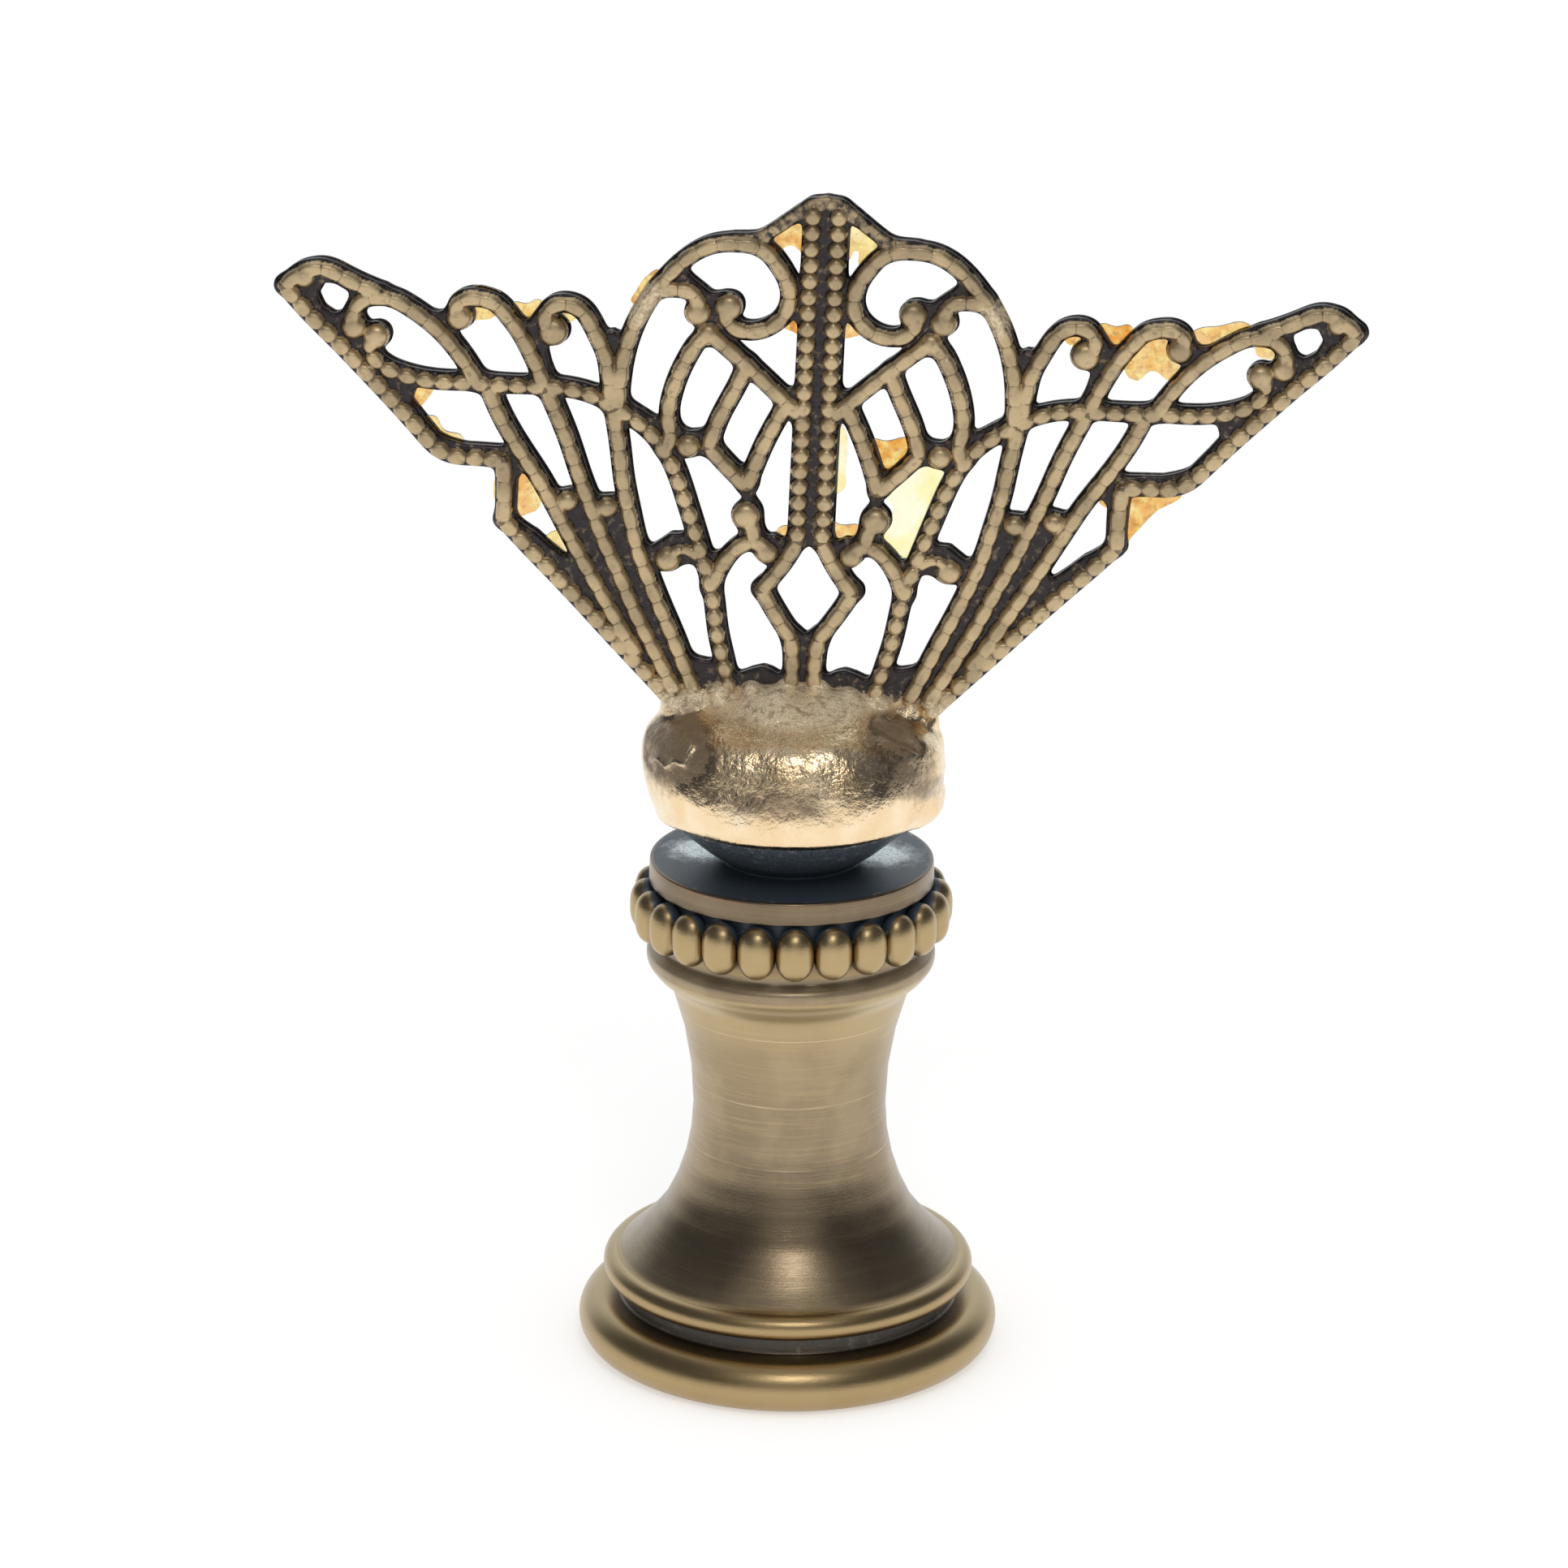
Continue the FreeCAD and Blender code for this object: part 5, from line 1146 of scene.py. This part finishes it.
def make_half():
    """One sheet's left half: points as u, height over the face and v, with its faces and its fields."""
    drawing = Drawing()
    places, faces = inside_mesh(drawing)
    ridge = drawing.sample(drawing.ridge, places)
    joint = drawing.sample(drawing.joint, places)
    depth = np.clip(-drawing.sample(drawing.outline, places) / EDGE_REACH, 0, 1)
    out = GROUND_LEVEL + RIDGE_RISE * ridge - EDGE_DROP * (1 - depth) ** 2
    rim_edges = open_edges(faces)
    rim = sorted({index for edge in rim_edges for index in edge})
    back = {index: len(places) + number for number, index in enumerate(rim)}
    walls = [[b, a, back[a], back[b]] for a, b in rim_edges
             if places[a][0] < -GRID_STEP / 2 or places[b][0] < -GRID_STEP / 2]
    closing = [[back[index] for index in face] for face in filled(places, rim_edges)]
    points = np.stack([places[:, 0], out, places[:, 1]], axis=-1)
    rear = points[rim] * (1, 0, 1) + (0, SHEET_BACK, 0)
    count = len(rim)
    fields = {
        "relief": np.concatenate([ridge, np.zeros(count)]),
        "joint": np.concatenate([joint, np.full(count, NO_JOINT)]),
    }
    return np.vstack([points, rear]), faces + walls + closing, fields


def dress_node(name, material):
    """A node that keeps the solid's own mesh, in a material of its own."""
    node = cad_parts[name]
    node.data.materials.clear()
    node.data.materials.append(material)
    return node


def make_ornament():
    """Both sheets, each in a left and a right half that mirror each other."""
    points, faces, fields = make_half()
    flipped = [face[::-1] for face in faces]
    for node, slot, side, shift in (("front_filigree", "front_brass", -1, 0.0),
                                    ("back_filigree", "back_brass", 1, BACK_SHIFT)):
        material = stamped_brass(slot)
        for half, mirror in (("left", 1), ("right", -1)):
            placed = ornament_points(points * (mirror, 1, 1), side, shift)
            outward = faces if side * mirror < 0 else flipped
            add_mesh(f"{node}_{half}", placed, outward, material, slot, node, **fields)


def film_mesh(points):
    """A flat film with a smooth outline, as points u, depth, v and faces."""
    curve = bpy.data.curves.new("film", "CURVE")
    curve.dimensions = "2D"
    curve.fill_mode = "BOTH"
    curve.extrude = FILM_THICKNESS / 2
    curve.resolution_u = 8
    spline = curve.splines.new("BEZIER")
    spline.bezier_points.add(len(points) - 1)
    spline.use_cyclic_u = True
    for knot, (u, v) in zip(spline.bezier_points, points):
        knot.co = (u, v, 0)
        knot.handle_left_type = knot.handle_right_type = "AUTO"
    holder = bpy.data.objects.new("film", curve)
    bpy.context.scene.collection.objects.link(holder)
    mesh = bpy.data.meshes.new_from_object(holder)
    work = bmesh.new()
    work.from_mesh(mesh)
    bmesh.ops.remove_doubles(work, verts=work.verts, dist=1e-5)
    bmesh.ops.recalc_face_normals(work, faces=work.faces)
    corners = [(vert.co.x, vert.co.z, vert.co.y) for vert in work.verts]
    faces = [[vert.index for vert in face.verts][::-1] for face in work.faces]
    work.free()
    bpy.data.objects.remove(holder)
    bpy.data.curves.remove(curve)
    bpy.data.meshes.remove(mesh)
    return np.array(corners), faces


def make_webs():
    """All films of glue, between the sheets, as one piece with flat faces."""
    builder = Builder()
    for depth, outline in WEBS.values():
        points, faces = film_mesh(outline)
        points = ornament_points(points - (0, FACE_DEPTH, 0), 1)
        builder.add(points, faces, np.full(len(points), depth))
    piece = add_mesh("webs", builder.all_points(), builder.faces, amber_glue(), "amber_glue", "resin_webs",
                     depth=builder.all_values())
    piece.data.polygons.foreach_set("use_smooth", [False] * len(piece.data.polygons))


# Knob: several soft shapes run together, whose surface is found along rays from its middle

# Where the rays start, how often their sphere is divided, and the search along each: from, to and halvings
KNOB_MIDDLE = np.array((0.1, 0.0, 30.0))
KNOB_DETAIL = 7
KNOB_NEAREST = 0.5
KNOB_FARTHEST = 12.0
KNOB_HALVINGS = 26
# The knob's outline seen from the front, as radius and height from its hem up
KNOB_OUTLINE = [
    (5.4, 26.4), (6.1, 26.8), (6.5, 27.3), (6.68, 27.7), (6.92, 28.2), (7.1, 28.8), (7.25, 29.4),
    (7.3, 29.95), (7.2, 30.7), (6.95, 31.4), (6.35, 31.95), (5.3, 32.35), (3.9, 32.85), (2.2, 33.5),
    (0.0, 33.85),
]
# Slanted faces that flatten its front and back: lean and distance from the origin, and softness
KNOB_FACES = [(math.radians(42), 25.5, 1.6), (math.radians(14), 13.45, 0.9)]
# How much they bow out towards their middle, and where that lies
FACE_BOW = 0.022
FACE_MIDDLE = 0.3
# Ellipsoids run into it: centre, half lengths and softness. A ridge and two lobes on top, and a bump by the
# hem at the right.
KNOB_TOPS = [
    ((0.3, 0, 31.2), (6.0, 2.1, 2.5), 0.9),
    ((-5.35, 0, 31.75), (1.15, 1.3, 1.2), 0.6),
    ((5.6, 0, 31.0), (1.15, 1.3, 1.2), 0.6),
]
KNOB_BUMP = ((6.3, -0.4, 28.15), (0.95, 2.4, 0.85), 0.7)
# The hem's height at the middle and how much it rises towards front and back, over these depths
HEM_HEIGHT = 27.15
HEM_RISE = 0.5
HEM_DEPTHS = (0.5, 5.0)
HEM_SOFTNESS = 0.2
# Small mounds of paint and filler where the strands stand in the knob: u, v and radius, then how far they
# reach towards front and back, and their softness
ROOT_MOUNDS = [(-6.1, 1.6, 0.6), (-5.2, 1.9, 0.65), (-3.9, 2.15, 0.75), (-2.4, 2.2, 0.7), (-0.6, 2.4, 0.75),
               (0.7, 2.4, 0.8), (2.2, 2.1, 0.75), (3.6, 2.0, 0.7), (5.2, 1.6, 0.7), (6.0, 1.15, 0.6)]
MOUND_DEPTH = 1.15
MOUND_SOFTNESS = 0.35


def smooth_overlap(first, second, softness):
    """The higher of two fields, rounded where they meet."""
    return -smooth_union(-first, -second, softness)


def with_ellipsoid(field, points, centre, radii, softness):
    """A field with an ellipsoid run into it."""
    moved = (points - centre) / radii
    near = np.linalg.norm(moved, axis=1)
    slope = np.linalg.norm(moved / radii, axis=1)
    return smooth_union(field, near * (near - 1) / np.maximum(slope, 1e-9), softness)


def knob_field(points):
    """About how far points lie outside the knob, under 0 inside it."""
    outline = smooth_line(KNOB_OUTLINE)[0]
    across, depth, height = np.hypot(points[:, 0], points[:, 1]), np.abs(points[:, 1]), points[:, 2]
    field = across - np.interp(height, outline[:, 1], outline[:, 0])
    past_end = np.maximum(height - KNOB_OUTLINE[-1][1], KNOB_OUTLINE[0][1] - height)
    field = np.where(past_end > 0, np.maximum(field, past_end), field)
    bow = FACE_BOW * (points[:, 0] - FACE_MIDDLE) ** 2
    for lean, far, softness in KNOB_FACES:
        face = depth * math.cos(lean) + height * math.sin(lean) + bow - far
        field = smooth_overlap(field, face, softness)
    for centre, radii, softness in KNOB_TOPS:
        field = with_ellipsoid(field, points, centre, radii, softness)
    hem = HEM_HEIGHT + HEM_RISE * smooth_step(*HEM_DEPTHS, depth)
    field = smooth_overlap(field, hem - height, HEM_SOFTNESS)
    field = with_ellipsoid(field, points, *KNOB_BUMP)
    places = ornament_points(np.array([(u, 0.0, v) for u, v, _ in ROOT_MOUNDS]), -1)
    for (x, _, z), (_, _, radius) in zip(places, ROOT_MOUNDS):
        field = with_ellipsoid(field, points, (x, 0.0, z), (radius, MOUND_DEPTH, radius), MOUND_SOFTNESS)
    return field


# Its front's dents and swellings: x, z, reach and height
FRONT_FORMS = [
    (0.3, 31.2, 1.6, 0.15), (2.6, 30.7, 1.0, 0.10), (-5.5, 30.9, 1.3, -0.2), (4.6, 31.9, 1.2, -0.15),
    (5.7, 32.0, 0.8, 0.2), (-4.2, 29.9, 1.2, 0.08), (5.2, 30.2, 1.2, -0.10),
]
# Dark patches painted on its front where it reflects dark parts of the studio, painted dark reflections: x, z
# and reach, how dark they are and how much wider than high
PAINTED_DARK_REFLECTIONS = [
    (-6.2, 31.7, 1.6), (-6.9, 31.2, 1.2), (-5.5, 30.4, 1.4), (-6.8, 30.9, 1.0), (-4.4, 31.5, 1.2),
    (-5.0, 32.5, 0.9), (5.3, 32.2, 0.7), (-2.4, 29.9, 0.8), (-0.8, 29.7, 1.2), (1.0, 29.8, 1.1),
    (3.6, 32.3, 0.8), (5.0, 31.2, 1.3), (6.0, 30.3, 1.3), (6.5, 29.4, 0.9), (4.2, 30.1, 0.9),
]
PAINTED_REFLECTION_DARKNESS = 0.6
PAINTED_REFLECTION_WIDENING = 1.3
# A sharp crease under the right root, and a pale squiggle at the left, as x and z along the front
CREASE = [(3.9, 32.6), (4.7, 32.3), (5.4, 31.95), (6.0, 31.55)]
SQUIGGLE = [(-6.8, 30.6), (-6.4, 30.95), (-6.0, 30.75), (-5.6, 31.15), (-5.2, 31.1), (-4.9, 31.6),
            (-4.65, 31.9)]
# Of both: half width, height and the darkness they add to the tarnish and shade; the crease's darkening is
# painted shade, the squiggle's negative value makes it paler.
CREASE_LOOK = (0.11, -0.35, 1.3)
SQUIGGLE_LOOK = (0.10, 0.17, -1.2)
# Lumps all over: height, size and seed. Clouds of tarnish: darkness, size, seed and lift.
KNOB_LUMPS = [(0.13, 2.6, 3.0), (0.05, 0.9, 7.0)]
CLOUD_DARKNESS, CLOUD_SIZE, CLOUD_SEED, CLOUD_LIFT = 0.25, 2.2, 11.0, 0.35
# Heights over which lumps and tarnish set in above the hem, and over which its gilding turns smooth downwards
HEM_KEPT = (27.4, 28.2)
HEM_SMOOTHING = (29.0, 28.2)
HEM_SMOOTHNESS = 0.6


def distance_to_line(x, z, line):
    """Distance of places from an open line of corners."""
    nearest = np.full(len(x), np.inf)
    for (x0, z0), (x1, z1) in zip(line, line[1:]):
        run, rise = x1 - x0, z1 - z0
        share = np.clip(((x - x0) * run + (z - z0) * rise) / (run ** 2 + rise ** 2), 0, 1)
        nearest = np.minimum(nearest, np.hypot(x - x0 - run * share, z - z0 - rise * share))
    return nearest


def lumps(points, size, seed):
    """Soft noise from about -1 to 1 at points."""
    offset = Vector((seed, seed * 2.0, -seed))
    return np.array([noise.noise(Vector(point) / size + offset) for point in points])


def make_knob():
    """Finds the surface along each ray by halving, then adds lumps, marks, tarnish, painted dark reflections
    and painted shade.
    """
    work = bmesh.new()
    bmesh.ops.create_icosphere(work, subdivisions=KNOB_DETAIL, radius=1.0)
    rays = np.array([vert.co for vert in work.verts])
    faces = [[vert.index for vert in face.verts] for face in work.faces]
    work.free()
    rays /= np.linalg.norm(rays, axis=1)[:, None]
    inner, outer = np.full(len(rays), KNOB_NEAREST), np.full(len(rays), KNOB_FARTHEST)
    for _ in range(KNOB_HALVINGS):
        middle = (inner + outer) / 2
        inside = knob_field(KNOB_MIDDLE + rays * middle[:, None]) < 0
        inner = np.where(inside, middle, inner)
        outer = np.where(inside, outer, middle)
    points = KNOB_MIDDLE + rays * inner[:, None]
    x, z = points[:, 0], points[:, 2]
    front = smooth_step(0.1, 0.5, -rays[:, 1])
    ahead = smooth_step(-0.1, 0.15, -rays[:, 1])
    above = smooth_step(*HEM_KEPT, z)
    push = sum(height * lumps(points, size, seed) for height, size, seed in KNOB_LUMPS)
    tarnish = CLOUD_DARKNESS * (lumps(points, CLOUD_SIZE, CLOUD_SEED) + CLOUD_LIFT) * above
    for centre_x, centre_z, reach, height in FRONT_FORMS:
        push = push + front * height * np.exp(-((x - centre_x) ** 2 + (z - centre_z) ** 2) / reach ** 2)
    # Painted dark reflections: darker patches where the front reflects dark parts of the studio.
    for centre_x, centre_z, reach in PAINTED_DARK_REFLECTIONS:
        away = (x - centre_x) ** 2 + ((z - centre_z) * PAINTED_REFLECTION_WIDENING) ** 2
        tarnish = tarnish + ahead * PAINTED_REFLECTION_DARKNESS * np.exp(-away / reach ** 2)
    # The crease gets painted shade; the squiggle is made paler.
    for line, (half, height, darkness) in ((CREASE, CREASE_LOOK), (SQUIGGLE, SQUIGGLE_LOOK)):
        share = front * np.exp(-(distance_to_line(x, z, line) / half) ** 2)
        push = push + height * share
        tarnish = tarnish + darkness * share
    points = points + rays * (push * above)[:, None]
    add_mesh("knob", points, faces, gilding(), "gilding", "gilt_knob", tarnish=np.clip(tarnish, 0, 1),
             hem=HEM_SMOOTHNESS * smooth_step(*HEM_SMOOTHING, z))


# Camera, studio, floor and light

def make_camera():
    """Looks down at the finial from the front, a little tilted."""
    data = bpy.data.cameras.new("camera")
    data.sensor_width = CAMERA_SENSOR
    data.lens = CAMERA_LENS
    data.clip_start = CAMERA_CLIP
    camera = bpy.data.objects.new("camera", data)
    back = Vector((0, -math.cos(CAMERA_ELEVATION), math.sin(CAMERA_ELEVATION)))
    turn = Matrix.Rotation(math.pi / 2 - CAMERA_ELEVATION, 4, "X") @ Matrix.Rotation(CAMERA_ROLL, 4, "Z")
    camera.matrix_world = Matrix.Translation((CAMERA_TARGET + back * CAMERA_DISTANCE) * MM) @ turn
    bpy.context.scene.collection.objects.link(camera)
    bpy.context.scene.camera = camera


# What metal sees of the studio's middle, by the angle from the front horizon over the top to the back
STUDIO_STOPS = [(-180, 1.0), (-8, 0.9), (3, 0.58), (14, 0.33), (38, 0.36), (46, 0.6), (58, 0.6), (68, 0.3),
                (84, 0.42), (100, 0.65), (115, 0.9), (180, 1.0)]
STUDIO_SIDE = (0.09, 0.095, 0.11)
STUDIO_BACK = (0.88, 0.95, 1.0)
WORLD_LIGHT = (0.62, 0.62, 0.62)
WHITE = (1.0, 1.0, 1.0)
# Rays that see the background, and those of them that see it white
SEEING_RAYS = ("Is Camera Ray", "Is Glossy Ray", "Is Transmission Ray")
DIRECT_RAYS = ("Is Camera Ray", "Is Transmission Ray")


def ray_share(nodes, kinds):
    """1 for rays of the given kinds, otherwise 0."""
    path = nodes.add("ShaderNodeLightPath")
    share = nodes.output(path, kinds[0])
    for kind in kinds[1:]:
        share = share.higher(nodes.output(path, kind))
    return share


def make_world():
    """A studio that depends on direction alone. The camera sees it white."""
    world = bpy.data.worlds.new("studio")
    bpy.context.scene.world = world
    world.use_nodes = True
    nodes = Nodes(world.node_tree, easing="LINEAR")
    parts = nodes.add("ShaderNodeSeparateXYZ")
    nodes.join(nodes.output(nodes.add("ShaderNodeTexCoord"), "Generated"), parts.inputs[0])
    x, y, z = (nodes.output(parts, axis) for axis in "XYZ")
    angle = nodes.math("ARCTAN2", z, y * -1.0)
    ramp = nodes.add("ShaderNodeValToRGB")
    nodes.join(angle.range(-math.pi, math.pi), ramp.inputs[0])
    stops = ramp.color_ramp.elements
    for index, (degrees, level) in enumerate(STUDIO_STOPS):
        position = (degrees + 180) / 360
        stop = stops[index] if index < 2 else stops.new(position)
        stop.position = position
        stop.color = (level, level, level, 1.0)
    studio = nodes.layers(
        nodes.output(ramp, "Color"),
        (abs(x).range(0.24, 0.5), STUDIO_SIDE),
        (y.range(0.5, 0.82).higher(z.range(0.08, -0.02)), STUDIO_BACK))
    shown = nodes.layers(WORLD_LIGHT, (ray_share(nodes, SEEING_RAYS), studio),
                         (ray_share(nodes, DIRECT_RAYS), WHITE))
    nodes.join(shown, world.node_tree.nodes["Background"].inputs["Color"])


FLOOR_HALF = 2.0
FLOOR_COLOUR = (0.88, 0.88, 0.88)
# How much the floor is lifted towards white, for the rays that see the background
FLOOR_LIFT = 0.45


def make_floor():
    """A pale floor under the foot, which keeps the finial's shadow."""
    material = bpy.data.materials.new("floor")
    material.use_nodes = True
    nodes = Nodes(material.node_tree)
    nodes.tree.nodes.clear()
    diffuse = nodes.add("ShaderNodeBsdfDiffuse")
    lift = nodes.add("ShaderNodeEmission")
    both = nodes.add("ShaderNodeAddShader")
    output = nodes.add("ShaderNodeOutputMaterial")
    nodes.join(FLOOR_COLOUR, diffuse.inputs["Color"])
    nodes.join(ray_share(nodes, SEEING_RAYS) * FLOOR_LIFT, lift.inputs["Strength"])
    nodes.join(nodes.output(diffuse), both.inputs[0])
    nodes.join(nodes.output(lift), both.inputs[1])
    nodes.join(nodes.output(both), output.inputs["Surface"])
    mesh = bpy.data.meshes.new("floor")
    corners = [(x * FLOOR_HALF, y * FLOOR_HALF, 0) for x, y in ((-1, -1), (1, -1), (1, 1), (-1, 1))]
    mesh.from_pydata(corners, [], [[0, 1, 2, 3]])
    mesh.materials.append(material)
    floor = bpy.data.objects.new("floor", mesh)
    floor.location.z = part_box("pedestal_base")[0].z
    bpy.context.scene.collection.objects.link(floor)


LIGHT_PLACE = Vector((18, -212, 275))
LIGHT_AIM = Vector((0, 0, 28))
LIGHT_SIZE = (85, 75)
LIGHT_POWER = 0.14
LIGHT_COLOUR = (1.0, 0.98, 0.95)


def make_light():
    """A soft panel that looks at the finial's middle."""
    data = bpy.data.lights.new("key", "AREA")
    data.shape = "RECTANGLE"
    data.size, data.size_y = LIGHT_SIZE[0] * MM, LIGHT_SIZE[1] * MM
    data.energy = LIGHT_POWER
    data.color = LIGHT_COLOUR
    light = bpy.data.objects.new("key", data)
    light.location = LIGHT_PLACE * MM
    light.rotation_euler = ((LIGHT_AIM - LIGHT_PLACE) * MM).to_track_quat("-Z", "Y").to_euler()
    bpy.context.scene.collection.objects.link(light)


def main():
    bpy.context.scene.view_settings.view_transform = "Standard"
    make_camera()
    make_world()
    make_floor()
    make_light()
    make_pedestal()
    dress_node("threaded_stud", plain_brass())
    make_ornament()
    make_webs()
    make_knob()


main()
